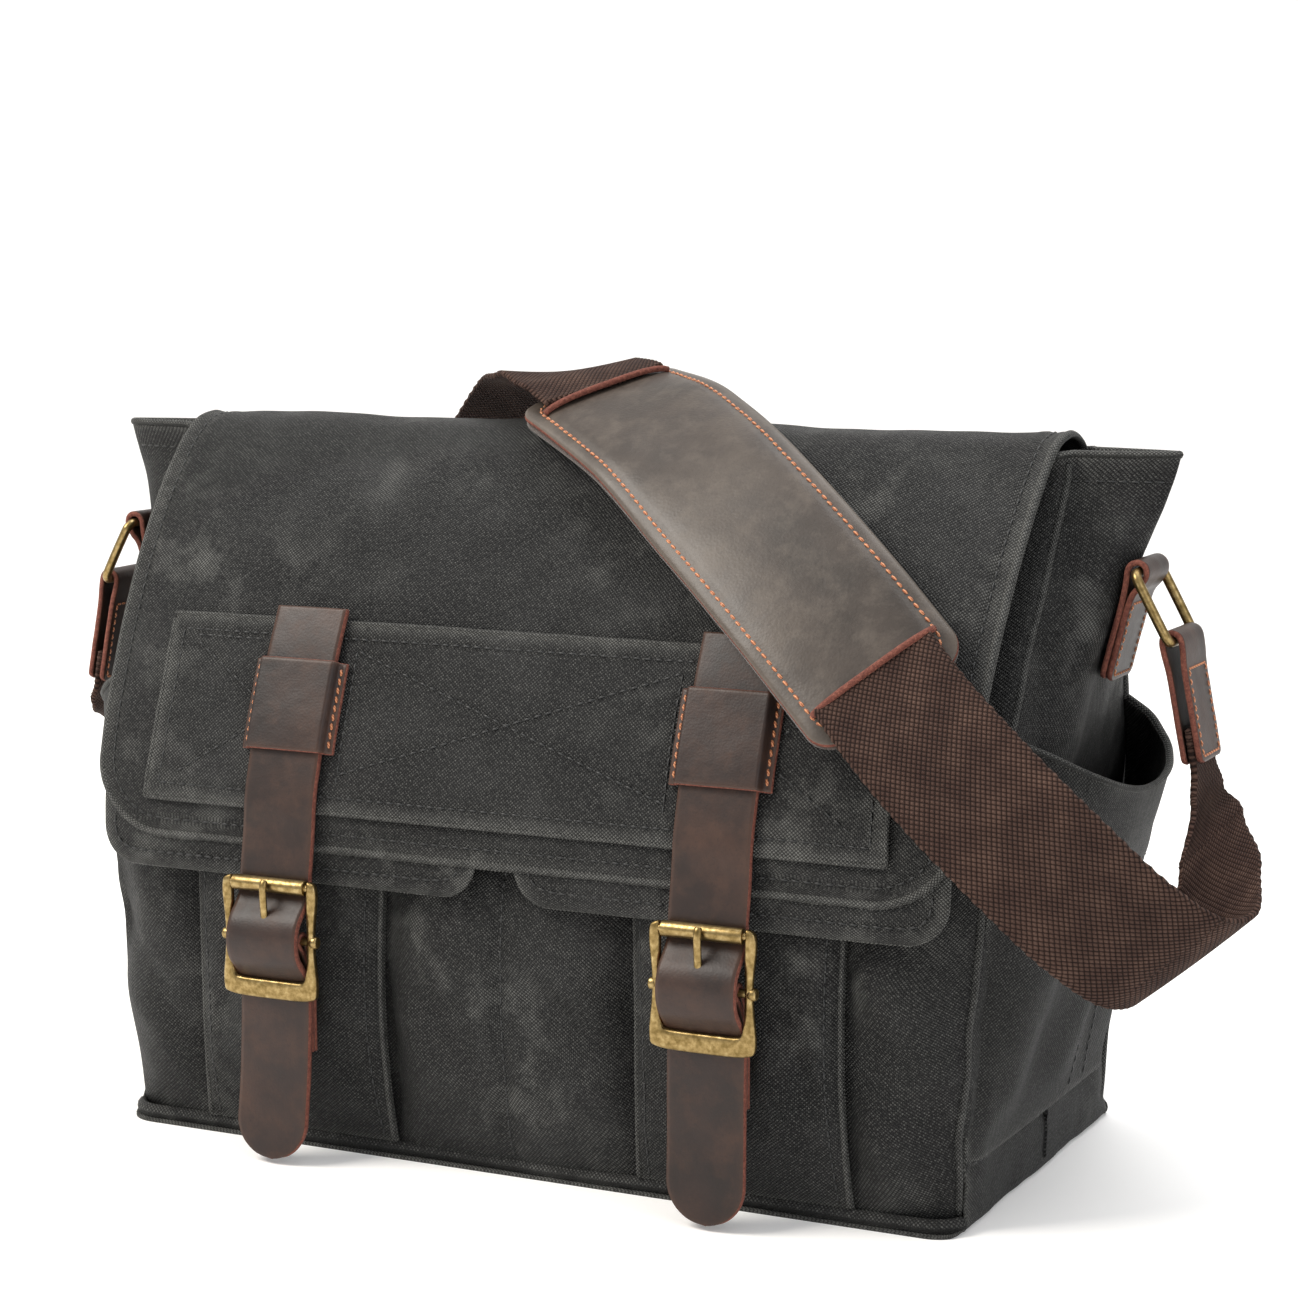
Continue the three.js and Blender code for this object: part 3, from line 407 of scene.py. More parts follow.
def edge_drop(x, z):
    edge = np.maximum(0, (np.abs(x) / half_width(z) - 0.78) / 0.22)
    return lerp(8, 3, z / PANEL_TOP) * edge * edge


def front_y(x, z):
    return front_line(z) + edge_drop(x, z)


def back_y(x, z):
    return back_line(z) - edge_drop(x, z)


print("height at fold (mm)", PANEL_TOP, "depth at 50 mm", round(float(back_line(50) - front_line(50))))

# %% [markdown]
# ## Cloth as a mesh
# A sheet is a grid of points from a function of (u, v), thickened inwards, with
# a rounded rim where the cloth is turned. No cloth simulation is run: creases and
# puckers are pressed in at given places, so each piece stays on its seams.
# Each grid point keeps its place on the flat cloth as a UV in millimetres.

# %% Sheets
def stack(x, y, z):
    """Three arrays as one array of points."""
    return np.stack(np.broadcast_arrays(x, y, z), axis=-1).astype(float)


def unit(v):
    """Vectors along the last axis, each made one long."""
    return v / np.maximum(np.linalg.norm(v, axis=-1, keepdims=True), 1e-9)


def distances(path):
    """Distance travelled at each point of a path."""
    return np.r_[0, np.cumsum(np.linalg.norm(np.diff(path, axis=0), axis=1))]


def along(path, run, at):
    """Each coordinate of a path at given distances along it."""
    return [np.interp(at, run, path[:, k]) for k in range(path.shape[1])]


def grid_normal(face, towards):
    """Unit normals of a point grid, on the side of a rough direction."""
    normal = unit(np.cross(np.gradient(face, axis=0), np.gradient(face, axis=1)))
    toward = np.broadcast_to(towards, face.shape)
    return normal * np.sign(np.sum(np.sum(normal * toward, axis=-1)))


def travelled(face, axis):
    """Distance along the grid lines of one axis, measured from their middle."""
    step = np.linalg.norm(np.diff(face, axis=axis), axis=-1)
    run = np.cumsum(step, axis=axis)
    run = np.concatenate([np.zeros_like(np.take(run, [0], axis=axis)), run], axis=axis)
    return run - np.take(run, [-1], axis=axis) / 2


def nearest(points, path):
    """Distance from each point to a path's closest point."""
    flat = points.reshape(-1, 3)
    best = np.full(len(flat), 1e9)
    for start in range(0, len(path), 40):
        gap = flat[:, None, :] - path[None, start : start + 40, :]
        best = np.minimum(best, np.sqrt((gap * gap).sum(-1)).min(1))
    return best.reshape(points.shape[:-1])


def rumple(points, seed, size, height):
    """Soft uneven swelling: a few slow waves in fixed random directions."""
    rng = np.random.default_rng(seed)
    total = np.zeros(points.shape[:-1])
    for octave in range(3):
        for _ in range(4):
            way = rng.normal(size=3)
            way /= np.linalg.norm(way)
            phase = rng.uniform(0, 2 * math.pi)
            total += np.sin(points @ way * 2 * math.pi / (size / 1.9**octave) + phase) / 1.9**octave
    return total * height / 4


def crease(points, a, b, width, height):
    """A rounded fold along the line from a to b, fading at both ends."""
    a, b = np.array(a, float), np.array(b, float)
    way = b - a
    t = np.clip(((points - a) @ way) / (way @ way), 0, 1)
    off = np.linalg.norm(points - (a + t[..., None] * way), axis=-1)
    return height * np.exp(-((off / width) ** 2)) * (0.35 + 0.65 * np.sin(math.pi * (0.12 + 0.76 * t)))


def pressed(total, points, folds, side=1, share=1.0):
    """A relief with folds added; side -1 mirrors them in X."""
    for a, b, width, height in folds:
        a, b = (side * a[0], *a[1:]), (side * b[0], *b[1:])
        total = total + share * crease(points, a, b, width, height)
    return total


def build(name, verts, faces, material, uv=None, wear=None, slots=(), slot_of=None):
    """A mesh object from millimetres, with its cloth coordinates and wear."""
    mesh = bpy.data.meshes.new(name)
    mesh.from_pydata((np.asarray(verts) * MM).tolist(), [], faces)
    for finish in (material, *slots):
        mesh.materials.append(finish)
    if slot_of is not None:
        mesh.polygons.foreach_set("material_index", np.asarray(slot_of, np.int32))
    corner = np.empty(len(mesh.loops), np.int32)
    mesh.loops.foreach_get("vertex_index", corner)
    if uv is not None:
        layer = mesh.uv_layers.new(name="cloth_mm")
        layer.data.foreach_set("uv", np.asarray(uv, np.float32)[corner].ravel())
    worn = mesh.attributes.new("wear", "FLOAT", "POINT")
    worn.data.foreach_set("value", np.asarray(np.zeros(len(verts)) if wear is None else wear, np.float32))
    mesh.shade_smooth()
    mesh.update()
    made = bpy.data.objects.new(name, mesh)
    bpy.context.scene.collection.objects.link(made)
    return made


def sheet(name, outer, steps, thick, material, towards, relief=None, wear_width=2.2, rim=0.3, slots=(), rim_slot=0):
    """A sheet of cloth or leather. Returns its object and a record of its face."""
    nu, nv = steps
    u, v = np.meshgrid(np.linspace(0, 1, nu + 1), np.linspace(0, 1, nv + 1), indexing="ij")
    face = outer(u, v)
    normal = grid_normal(face, towards)
    if relief is not None:
        face = face + normal * relief(face, u, v)[..., None]
        normal = grid_normal(face, towards)
    flat = np.stack([travelled(face, 0), travelled(face, 1)], axis=-1)
    back = face - normal * thick
    ring = [(i, 0) for i in range(nu)] + [(nu, j) for j in range(nv)]
    ring += [(i, nv) for i in range(nu, 0, -1)] + [(0, j) for j in range(nv, 0, -1)]
    rows, cols = np.array(ring).T
    border = face[rows, cols]
    side = unit(np.cross(np.roll(border, -1, 0) - np.roll(border, 1, 0), normal[rows, cols]))
    centre = face.reshape(-1, 3).mean(0)
    side *= np.sign(np.sum(np.sum(side * (border - centre), -1)))
    middle = (border + back[rows, cols]) / 2 + side * thick * rim
    n = (nu + 1) * (nv + 1)
    verts = np.vstack([face.reshape(-1, 3), back.reshape(-1, 3), middle])
    uv = np.vstack([flat.reshape(-1, 2), flat.reshape(-1, 2), flat[rows, cols] * 1.01])
    reach = np.abs(flat)
    inset = np.minimum(
        np.abs(travelled(face, 0)[[0, -1]]).max(0)[None, :] - reach[..., 0],
        np.abs(travelled(face, 1)[:, [0, -1]]).max(1)[:, None] - reach[..., 1],
    )
    wear = np.exp(-np.maximum(inset, 0) / wear_width)
    wear = np.concatenate([wear.ravel(), wear.ravel(), np.ones(len(ring))])
    index = np.arange(n).reshape(nu + 1, nv + 1)
    quads = np.stack([index[:-1, :-1], index[1:, :-1], index[1:, 1:], index[:-1, 1:]], -1).reshape(-1, 4)
    edge = index[rows, cols]
    rim_at = 2 * n + np.arange(len(ring))
    following = np.roll(np.arange(len(ring)), -1)
    strip = [np.stack([edge[following], edge, rim_at, rim_at[following]], -1)]
    strip += [np.stack([rim_at[following], rim_at, edge + n, edge[following] + n], -1)]
    outwards = np.sum(np.cross(face[1, 0] - face[0, 0], face[0, 1] - face[0, 0]) * normal[0, 0]) > 0
    polygons = np.vstack([quads, quads[:, ::-1] + n, *strip])
    if not outwards:
        polygons = polygons[:, ::-1]
    slot_of = np.r_[np.zeros(2 * len(quads)), np.full(2 * len(ring), rim_slot)]
    made = build(name, verts, polygons.tolist(), material, uv, wear, slots, slot_of)
    return made, {"face": face, "normal": normal, "rim": middle}


def on_sheet(record, u, v, lift=0.0):
    """Points and normals at (u, v) on a sheet that is already made."""
    face, normal = record["face"], record["normal"]
    nu, nv = face.shape[0] - 1, face.shape[1] - 1
    a, b = np.clip(u, 0, 1) * nu, np.clip(v, 0, 1) * nv
    i, j = np.minimum(a.astype(int), nu - 1), np.minimum(b.astype(int), nv - 1)
    s, t = (a - i)[:, None], (b - j)[:, None]
    picked = []
    for grid in (face, normal):
        low = grid[i, j] * (1 - s) + grid[i + 1, j] * s
        high = grid[i, j + 1] * (1 - s) + grid[i + 1, j + 1] * s
        picked.append(low * (1 - t) + high * t)
    return picked[0] + picked[1] * lift, picked[1]


print("sheet helpers ready")

# %% [markdown]
# ## Stitches and rolled edges
# A row of lockstitch is a string of short threads that dip into the cloth at
# both ends. One stitch is a spindle of a few dozen faces, copied along a path.
# A rolled edge is a thin bead of turned cloth, so it is a tube along the rim.

# %% Stitches and beads
def evenly(path, spacing):
    """Points at an even spacing along a path."""
    run = distances(path)
    count = max(int(round(run[-1] / spacing)), 1)
    at = np.linspace(0, run[-1], count + 1)
    return np.stack(along(path, run, at), -1)


def stitch_rows(name, rows, material, length=3.4, pitch=4.3, thick=0.42, sink=0.12, slant=0.0):
    """Rows of stitches; each row is (points, normals) on a face."""
    sections = [(-0.5, 0.0, -1.6), (-0.42, 0.75, -0.35), (0.0, 1.0, 0.25), (0.42, 0.75, -0.35), (0.5, 0.0, -1.6)]
    verts, faces = [], []
    for points, normals in rows:
        path = evenly(np.hstack([points, normals]), pitch)
        ends, out = path[:, :3], path[:, 3:]
        for k in range(len(path) - 1):
            middle = (ends[k] + ends[k + 1]) / 2
            up, ahead = unit(out[k] + out[k + 1]), unit(ends[k + 1] - ends[k])
            ahead = ahead * math.cos(slant) + np.cross(up, ahead) * math.sin(slant)
            across = np.cross(up, ahead)
            start = len(verts)
            for share, fat, drop in sections:
                centre = middle + ahead * share * length + up * (thick * (drop + 0.5) - sink)
                if fat == 0:
                    verts.append(centre)
                    continue
                for turn in range(6):
                    angle = math.pi * turn / 3
                    verts.append(centre + (across * math.cos(angle) * 1.15 + up * math.sin(angle)) * thick * fat)
            rings = [start + 1, start + 7, start + 13]
            for turn in range(6):
                after = (turn + 1) % 6
                faces.append((start, rings[0] + after, rings[0] + turn))
                for a, b in zip(rings, rings[1:]):
                    faces.append((a + turn, a + after, b + after, b + turn))
                faces.append((rings[2] + turn, rings[2] + after, start + 19))
    return build(name, np.array(verts), faces, material)


def tube(name, path, radius, sides, material, closed=False, flat=1.0, up=(0, 0, 1), wear=1.0):
    """A bead of even thickness along a path; flat squashes it along its up side."""
    path = np.asarray(path, float)
    n = len(path)
    ahead = unit(np.roll(path, -1, 0) - np.roll(path, 1, 0) if closed else np.gradient(path, axis=0))
    side = unit(np.cross(ahead, np.broadcast_to(np.asarray(up, float), path.shape)))
    ups = np.cross(side, ahead)
    angles = np.linspace(0, 2 * math.pi, sides, endpoint=False)
    ring = np.cos(angles)[None, :, None] * side[:, None] + np.sin(angles)[None, :, None] * ups[:, None] * flat
    verts = (path[:, None] + ring * radius).reshape(-1, 3)
    run = distances(path)
    uv = np.stack([np.repeat(run, sides), np.tile(angles * radius, n)], -1)
    faces = []
    for i in range(n if closed else n - 1):
        for k in range(sides):
            a, b = i * sides, ((i + 1) % n) * sides
            faces.append((a + k, a + (k + 1) % sides, b + (k + 1) % sides, b + k))
    if not closed:
        verts = np.vstack([verts, path[0], path[-1]])
        uv = np.vstack([uv, [run[0], 0], [run[-1], 0]])
        last = (n - 1) * sides
        for k in range(sides):
            faces.append((n * sides, (k + 1) % sides, k))
            faces.append((n * sides + 1, last + k, last + (k + 1) % sides))
    made = build(name, verts, faces, material, uv, np.full(len(verts), float(wear)))
    volume = sum(np.dot(verts[f[0]], np.cross(verts[f[1]], verts[f[2]])) for f in faces)
    volume += sum(np.dot(verts[f[0]], np.cross(verts[f[2]], verts[f[3]])) for f in faces if len(f) == 4)
    if volume < 0:
        made.data.flip_normals()
    return made


def carry(body, piece, slot=None, *nodes):
    """Puts a piece on a body and hides the CAD nodes it stands for. The slot is not used."""
    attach(piece, body)
    if nodes:
        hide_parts(*nodes)


print("stitch and bead helpers ready")

# %% [markdown]
# ## The body
# The real body is a front, a back and two ends sewn in a ring. It is lofted as
# one closed tube of cloth, ring by ring up the bag, so it sags as one skin. The
# ends are pinched to a ridge at the top, and the filled front bellies out
# between the pockets.

# %% Body shell
def gusset_edge(z, s):
    """Where an end panel meets the front (s below 0) or the back."""
    slope_f = (front_line(z + 1) - front_line(z - 1)) / 2
    slope_b = (back_line(z + 1) - back_line(z - 1)) / 2
    front = front_y(half_width(z), z) + CANVAS * np.hypot(1, slope_f) + 5 * GAP
    back = back_y(half_width(z), z) - CANVAS * np.hypot(1, slope_b) - 5 * GAP
    return np.where(s < 0, front, back)


def belly(x, z):
    """How far the filled front stands out between and beside the pockets."""
    tall = np.sin(math.pi * np.clip((z - 3) / 128, 0, 1)) ** 0.6
    middle = 10.5 * np.clip(1 - (np.abs(x) / 50) ** 6, 0, 1)
    middle -= 2.6 * np.exp(-((x / 3.5) ** 2))
    flank = np.clip((np.abs(x) - 134) / 40, 0, 1)
    return tall * np.where(np.abs(x) < 50, middle, 6.5 * np.sin(math.pi * flank) ** 0.8)


def body_ring(u, v):
    """The shell's outer face: u runs round from the front's left edge."""
    turn = (u % 1) * 6
    front = turn < 2
    right = (turn >= 2) & (turn < 3)
    back = (turn >= 3) & (turn < 5)
    f = np.where(front, turn - 1, np.where(back, 4 - turn, 0))
    s = np.where(right, (turn - 2.5) * 2, np.where(turn >= 5, (5.5 - turn) * 2, 0))
    side = np.where(right, 1, -1)
    flat_part = front | back
    rim = np.where(back, PANEL_TOP + 4, PANEL_TOP)  # the flap is sewn to the back's rim
    top = np.where(flat_part, lerp(rim, GUSSET_TOP, smooth((np.abs(f) - 0.86) / 0.14)), GUSSET_TOP)
    z = lerp(PANEL_FOOT, top, v)
    x_flat = f * half_width(z)
    y_flat = np.where(front, front_y(x_flat, z) - belly(x_flat, z), back_y(x_flat, z))
    x_end = side * (half_width(z) + ridge_line(z) * (1 - np.abs(s) ** 1.7))
    y_end = lerp(gusset_edge(z, -1), gusset_edge(z, 1), (s + 1) / 2)
    return stack(np.where(flat_part, x_flat, x_end), np.where(flat_part, y_flat, y_end), z)


def loft(name, outer, steps, thick, material, relief):
    """A closed tube of cloth with wall thickness and turned rims."""
    nu, nv = steps
    u, v = np.meshgrid(np.arange(nu) / nu, np.linspace(0, 1, nv + 1), indexing="ij")
    face = outer(u, v)

    def normals(grid):
        around = np.roll(grid, -1, 0) - np.roll(grid, 1, 0)
        return unit(np.cross(around, np.gradient(grid, axis=1)))

    normal = normals(face)
    face = face + normal * relief(face)[..., None]
    normal = normals(face)
    back = face - normal * thick
    around = np.linalg.norm(np.roll(face, -1, 0) - face, axis=-1)
    run = np.cumsum(around, axis=0) - around
    flat = np.stack([run, travelled(face, 1)], -1)
    rims = [(face[:, j] + back[:, j]) / 2 + lift for j, lift in ((0, (0, 0, -0.4)), (nv, (0, 0, 0.5)))]
    n = nu * (nv + 1)
    verts = np.vstack([face.reshape(-1, 3), back.reshape(-1, 3), *rims])
    uv = np.vstack([flat.reshape(-1, 2)] * 2 + [flat[:, 0], flat[:, nv]])
    depth = np.abs(travelled(face, 1)[:, -1:]) - travelled(face, 1)
    wear = np.exp(-depth / 2.0).ravel()
    index = np.arange(n).reshape(nu, nv + 1)
    ahead = np.roll(index, -1, 0)
    quads = np.stack([index[:, :-1], ahead[:, :-1], ahead[:, 1:], index[:, 1:]], -1).reshape(-1, 4)
    faces = [quads, quads[:, ::-1] + n]
    for k, j in enumerate((0, nv)):
        low = 2 * n + k * nu + np.arange(nu)
        high = np.roll(low, -1)
        strip = [np.stack([index[:, j], ahead[:, j], high, low], -1)]
        strip += [np.stack([low, high, ahead[:, j] + n, index[:, j] + n], -1)]
        faces += strip if j == nv else [part[:, ::-1] for part in strip]
    worn = np.concatenate([wear, wear, np.zeros(nu), np.ones(nu)])
    made = build(name, verts, np.vstack(faces).tolist(), material, uv, worn)
    return made, {"face": face, "normal": normal}


def body_relief(points):
    """Seam dips, puckers and the soft folds of a filled bag."""
    x, y, z = points[..., 0], points[..., 1], points[..., 2]
    calm = smooth((z - 3) / 25) * (0.5 + 0.5 * smooth((262 - z) / 60))
    lift = rumple(points, 4, 95, 1.9) * calm + rumple(points, 9, 38, 0.8) * calm
    front = y < front_line(z) + 6
    lift = pressed(lift, points, (
        ((12, -99, 74), (36, -98, 52), 7, -3.4), ((16, -99, 86), (44, -98, 68), 8, 2.2),
        ((-40, -99, 70), (-16, -99, 44), 9, -2.2), ((140, -92, 96), (166, -88, 58), 9, 3.2),
        ((146, -92, 64), (172, -84, 30), 8, -2.6), ((142, -92, 40), (150, -90, 14), 8, 2.2),
        ((-172, -84, 84), (-144, -92, 46), 10, -2.6), ((-168, -84, 108), (-146, -92, 84), 9, 2.4),
    ), share=front)
    for side in (-1, 1):
        lift = pressed(lift, points, (
            ((186, -34, 150), (206, -20, 248), 9, 2.6), ((186, 16, 150), (208, -2, 250), 9, -2.2),
            ((184, -56, 172), (200, -38, 240), 7, -2.0), ((190, 34, 168), (214, 6, 258), 6, 2.0),
        ), side)
    return lift


COLUMNS = 372
shell, shell_face = loft("body_shell", body_ring, (COLUMNS, 84), CANVAS, WAXED_CANVAS, body_relief)
carry("bag", shell, "waxed_canvas", "front_panel", "back_panel", "gusset_left", "gusset_right")
print("body shell faces", len(shell.data.polygons))

# %% [markdown]
# The four upright seams are turned to the outside edge as a thin bead. The hem
# at the mouth is folded in and stitched all round, and one row of stitches runs
# down the middle of the front.

# %% Body seams
for corner, share in enumerate((0.0, 2 / 6, 3 / 6, 5 / 6)):
    column = int(round(share * COLUMNS)) % COLUMNS
    previous = (column - 1) % COLUMNS
    edge = (shell_face["face"][column] + shell_face["face"][previous]) / 2
    bead = tube(f"body_seam_{corner}", edge[1:-1], 1.5, 8, WAXED_CANVAS, up=(0, 1, 0), wear=0.55)
    carry("bag", bead, "waxed_canvas")
mouth_line = shell_face["face"][:, -1] - shell_face["normal"][:, -1] * 0.8
mouth = tube("body_mouth_hem", mouth_line, 1.45, 8, WAXED_CANVAS, closed=True, wear=0.85)
carry("bag", mouth, "waxed_canvas")
heights = shell_face["face"][..., 2]
hem_rows = []
drop = [int(np.argmin(np.abs(heights[c] - (heights[c, -1] - 9)))) for c in range(COLUMNS)]
hem_at = np.array([shell_face["face"][c, j] for c, j in enumerate(drop)])
hem_out = np.array([shell_face["normal"][c, j] for c, j in enumerate(drop)])
hem_rows.append((np.vstack([hem_at, hem_at[:1]]), np.vstack([hem_out, hem_out[:1]])))
middle = COLUMNS // 6
below = heights[middle] < 122
hem_rows.append((shell_face["face"][middle][below], shell_face["normal"][middle][below]))
carry("bag", stitch_rows("body_stitches", hem_rows, BLACK_THREAD))

# %% [markdown]
# ## The base
# One strong piece lies under the bag and wraps a thumb's width up each end,
# stitched along its top. A flat welt closes the long bottom seams.

# %% Base canvas and welts
BASE_X, BASE_Y, BASE_CORNER, FLANGE = 173.4, 90.0, 14.0, 27.0


def base_face(u, v):
    """A wide U: up one end, across under the bag, up the other end."""
    arc = [(BASE_X - 4 + 4 * math.sin(a), 4 - 4 * math.cos(a)) for a in np.linspace(0, math.pi / 2, 8)]
    half = [(0, 0.0)] + arc + [(BASE_X + 0.6, 16.0), (BASE_X, FLANGE)]
    line = np.array([(-x, z) for x, z in reversed(half[1:])] + half)
    run = distances(line)
    at = u * run[-1]
    x, z = along(line, run, at)
    into = np.clip(np.abs(x) - (BASE_X + 1 - BASE_CORNER), 0, BASE_CORNER)
    depth = BASE_Y - BASE_CORNER + np.sqrt(BASE_CORNER**2 - into**2)
    y = lerp(-depth, depth, v)
    tuck = 2.2 * smooth((np.abs(y) - 66) / 16) * smooth((z - 2) / 10)
    return stack(x - np.sign(x) * tuck, y - np.sign(y) * 2.5 * smooth(z / 5), z)


def base_relief(points, u, v):
    end = smooth((np.abs(points[..., 0]) - 168) / 6)
    stitched = nearest(points, np.array([(s * BASE_X, y, 23.0) for s in (-1, 1) for y in range(-80, 81, 2)]))
    return end * rumple(points, 12, 60, 0.8) - 0.5 * np.exp(-((stitched / 1.4) ** 2))


base, base_record = sheet("base_canvas", base_face, (190, 66), 1.4, PLAIN_CANVAS, (0, 0, -1), base_relief)
carry("bag", base, "waxed_canvas", "base_panel")
for row, way in (("front", -1), ("back", 1)):
    bend = [(-(BASE_X - 14) - 12.4 * math.sin(a), 76 + 11.4 * math.cos(a)) for a in np.linspace(1.25, 0, 12)]
    straight = [(x, 87.4 + 0.5 * math.sin(x / 17)) for x in range(-156, 157, 6)]
    line = bend + straight + [(-x, y) for x, y in reversed(bend)]
    welt = tube(f"base_welt_{row}", [(x, way * y, 3.6) for x, y in line], 2.2, 12, WAXED_CANVAS, flat=1.3, wear=0.05)
    carry("bag", welt, "waxed_canvas")
flange_rows = []
for edge in (0.0085, 0.9915):
    share = np.linspace(0.03, 0.97, 80)
    flange_rows.append(on_sheet(base_record, np.full(80, edge), share))
carry("bag", stitch_rows("base_stitches", flange_rows, BLACK_THREAD))
print("base (mm)", BASE_X * 2, "by", BASE_Y * 2)

# %% [markdown]
# ## Front pockets
# Each pocket is a bellows of canvas whose side edges are turned, beaded and
# topstitched. It holds a few things, so it bellies out between its edges, and
# the corners at its foot pucker.

# %% Front pockets
POCKET_INNER, POCKET_OUTER, POCKET_FOOT, POCKET_TOP = 50.0, 134.0, 9.0, 128.0
SNAP_X, SNAP_Z, SNAP_SEAT_Y = 88.0, 58.0, -100.8


POCKET_WIDE, SEAM_IN = 84, 5.2


def front_pocket_face(side):
    middle, half = (POCKET_INNER + POCKET_OUTER) / 2, (POCKET_OUTER - POCKET_INNER) / 2

    def face(u, v):
        s = lerp(-1, 1, u)
        z = lerp(POCKET_FOOT - 3, POCKET_TOP, v)
        x = side * (middle + s * half * (1 - 0.05 * np.sin(math.pi * v)))
        swell = 8 * (1 - np.abs(s) ** 14) * (1 - (1 - v) ** 5)
        round_off = 2.2 * (1 - s * s) * np.sin(math.pi * np.clip(v * 1.05, 0, 1)) ** 0.8
        return stack(x, front_y(x, z) - GAP - CANVAS - swell - round_off, z)

    return face


def pocket_relief(side):
    def lift(points, u, v):
        quiet = np.minimum(smooth(np.minimum(u, 1 - u) * 9), smooth(v * 7))
        total = rumple(points, 21 + side, 44, 1.3) * quiet
        total = pressed(total, points, (
            ((112, -101, 72), (124, -101, 44), 6, -2.6), ((104, -102, 62), (112, -102, 30), 6, 1.5),
            ((62, -101, 40), (80, -102, 18), 7, -1.8), ((60, -101, 96), (72, -102, 70), 7, 1.3),
            ((118, -100, 30), (130, -98, 14), 5, -1.8),
        ), side, quiet)
        dip = np.exp(-(((np.minimum(u, 1 - u) * POCKET_WIDE - SEAM_IN) / 1.1) ** 2))
        # the cloth lies flat under the snap, which stands on it
        from_snap = np.hypot(points[..., 0] - side * SNAP_X, points[..., 2] - SNAP_Z)
        seat = smooth((17 - from_snap) / 6)
        return lerp(total - 0.45 * dip, points[..., 1] - SNAP_SEAT_Y, seat)

    return lift


for label, side in SIDES:
    pocket, record = sheet(
        f"front_pocket_{label}_cloth", front_pocket_face(side), (84, 84), CANVAS, WAXED_CANVAS,
        (0, -1, 0), pocket_relief(side), wear_width=1.4,
    )
    carry("bag", pocket, "waxed_canvas", f"front_pocket_{label}")
    share = np.linspace(0.01, 0.99, 70)
    rows = [on_sheet(record, np.full(70, edge), share) for edge in (SEAM_IN / POCKET_WIDE, 1 - SEAM_IN / POCKET_WIDE)]
    carry("bag", stitch_rows(f"front_pocket_{label}_stitches", rows, BLACK_THREAD))
    for number, edge in enumerate((0.012, 0.988)):
        line, _ = on_sheet(record, np.full(70, edge), share)
        bead = tube(f"front_pocket_{label}_edge_{number}", line, 1.1, 8, WAXED_CANVAS, up=(0, 1, 0), wear=0.8)
        carry("bag", bead, "waxed_canvas")
print("front pockets (mm)", POCKET_OUTER - POCKET_INNER, "by", POCKET_TOP - POCKET_FOOT)

# %% [markdown]
# ## Side pockets
# Each end has a bottle pocket: a deep band folded and stitched round its mouth,
# and below it loose cloth that falls in pleats to the base. It is open at the
# top, so it is a real sheet that stands away from the bag.

# %% Side pockets
def side_pocket_face(side):
    def face(u, v):
        s = lerp(-1, 1, u)
        rim = 172 - 22 * (1 - s * s)
        z = lerp(FLANGE + GAP - 3, rim, v)
        y = lerp(gusset_edge(z, -1) - 0.6, gusset_edge(z, 1) - 2.5, u)
        out = pocket_belly(np.maximum(z, 28)) * (1 - np.abs(s) ** 2.6)
        stand = lerp(0.2, GAP + CANVAS + 0.4, smooth(np.minimum(u, 1 - u) * 14))
        return stack(side * (half_width(z) + stand + out), y, z)

    return face


BAND = 42.0


def side_pocket_relief(side):
    def lift(points, u, v):
        z = points[..., 2]
        s = lerp(-1, 1, u)
        rim = 172 - 22 * (1 - s * s)
        below = rim - BAND - z
        band = smooth((-below + 0.8) / 1.6) * 1.1 - 0.6 * np.exp(-(((below + 2.5) / 1.2) ** 2))
        loose = smooth(below / 26) * smooth((z - 27) / 26)
        pleats = 2.4 * np.sin((s * 2.1 + 0.25 * np.sin(z / 30)) * math.pi * 1.3) * loose
        quiet = smooth(np.minimum(u, 1 - u) * 10) * smooth((z - 27) / 10)
        total = band + pleats + quiet * rumple(points, 31 + side, 52, 0.9)
        return pressed(total, points, (
            ((204, -52, 128), (192, -66, 60), 7, 2.2), ((206, -36, 116), (190, -30, 44), 6, -2.0),
            ((208, 30, 118), (186, 26, 40), 3.0, -2.2), ((208, 40, 118), (186, 35, 40), 4.0, 1.8),
            ((204, 52, 118), (184, 52, 40), 3.0, -1.6),
        ), side, quiet)

    return lift


for label, side in SIDES:
    pocket, record = sheet(
        f"side_pocket_{label}_cloth", side_pocket_face(side), (110, 92), CANVAS, PLAIN_CANVAS,
        (side, 0, 0), side_pocket_relief(side), wear_width=1.8,
    )
    carry("bag", pocket, "plain_canvas", f"side_pocket_{label}")
    across = np.linspace(0.01, 0.99, 90)
    s = lerp(-1, 1, across)
    rim = 172 - 22 * (1 - s * s)
    seam = (rim - BAND + 2.5 - (FLANGE + GAP - 3)) / (rim - (FLANGE + GAP - 3))
    rows = [on_sheet(record, across, seam)]
    down = np.linspace(0.02, 0.6, 60)
    for from_u, to_u in ((0.66, 0.7), (0.775, 0.8)):
        rows.append(on_sheet(record, lerp(from_u, to_u, down / 0.6), down))
    carry("bag", stitch_rows(f"side_pocket_{label}_stitches", rows, BLACK_THREAD))
    line = record["face"][:, -1]
    bead = tube(f"side_pocket_{label}_mouth", line[1:-1], 1.25, 8, PLAIN_CANVAS, wear=0.8)
    carry("bag", bead, "plain_canvas")
print("side pocket mouth (mm)", round(float(pocket_belly(150))))

# %% [markdown]
# ## Pocket flaps
# Under the main flap each front pocket has its own flap with round corners.
# Only its lower lip shows. It is cut like the main flap: two layers, turned and
# topstitched near the edge.

# %% Pocket flaps
def rounded_half(half, from_end, radius):
    """Half width of a piece near an end with rounded corners."""
    into = radius - np.clip(from_end, 0, radius)
    return half - (radius - np.sqrt(np.maximum(radius * radius - into * into, 0)))


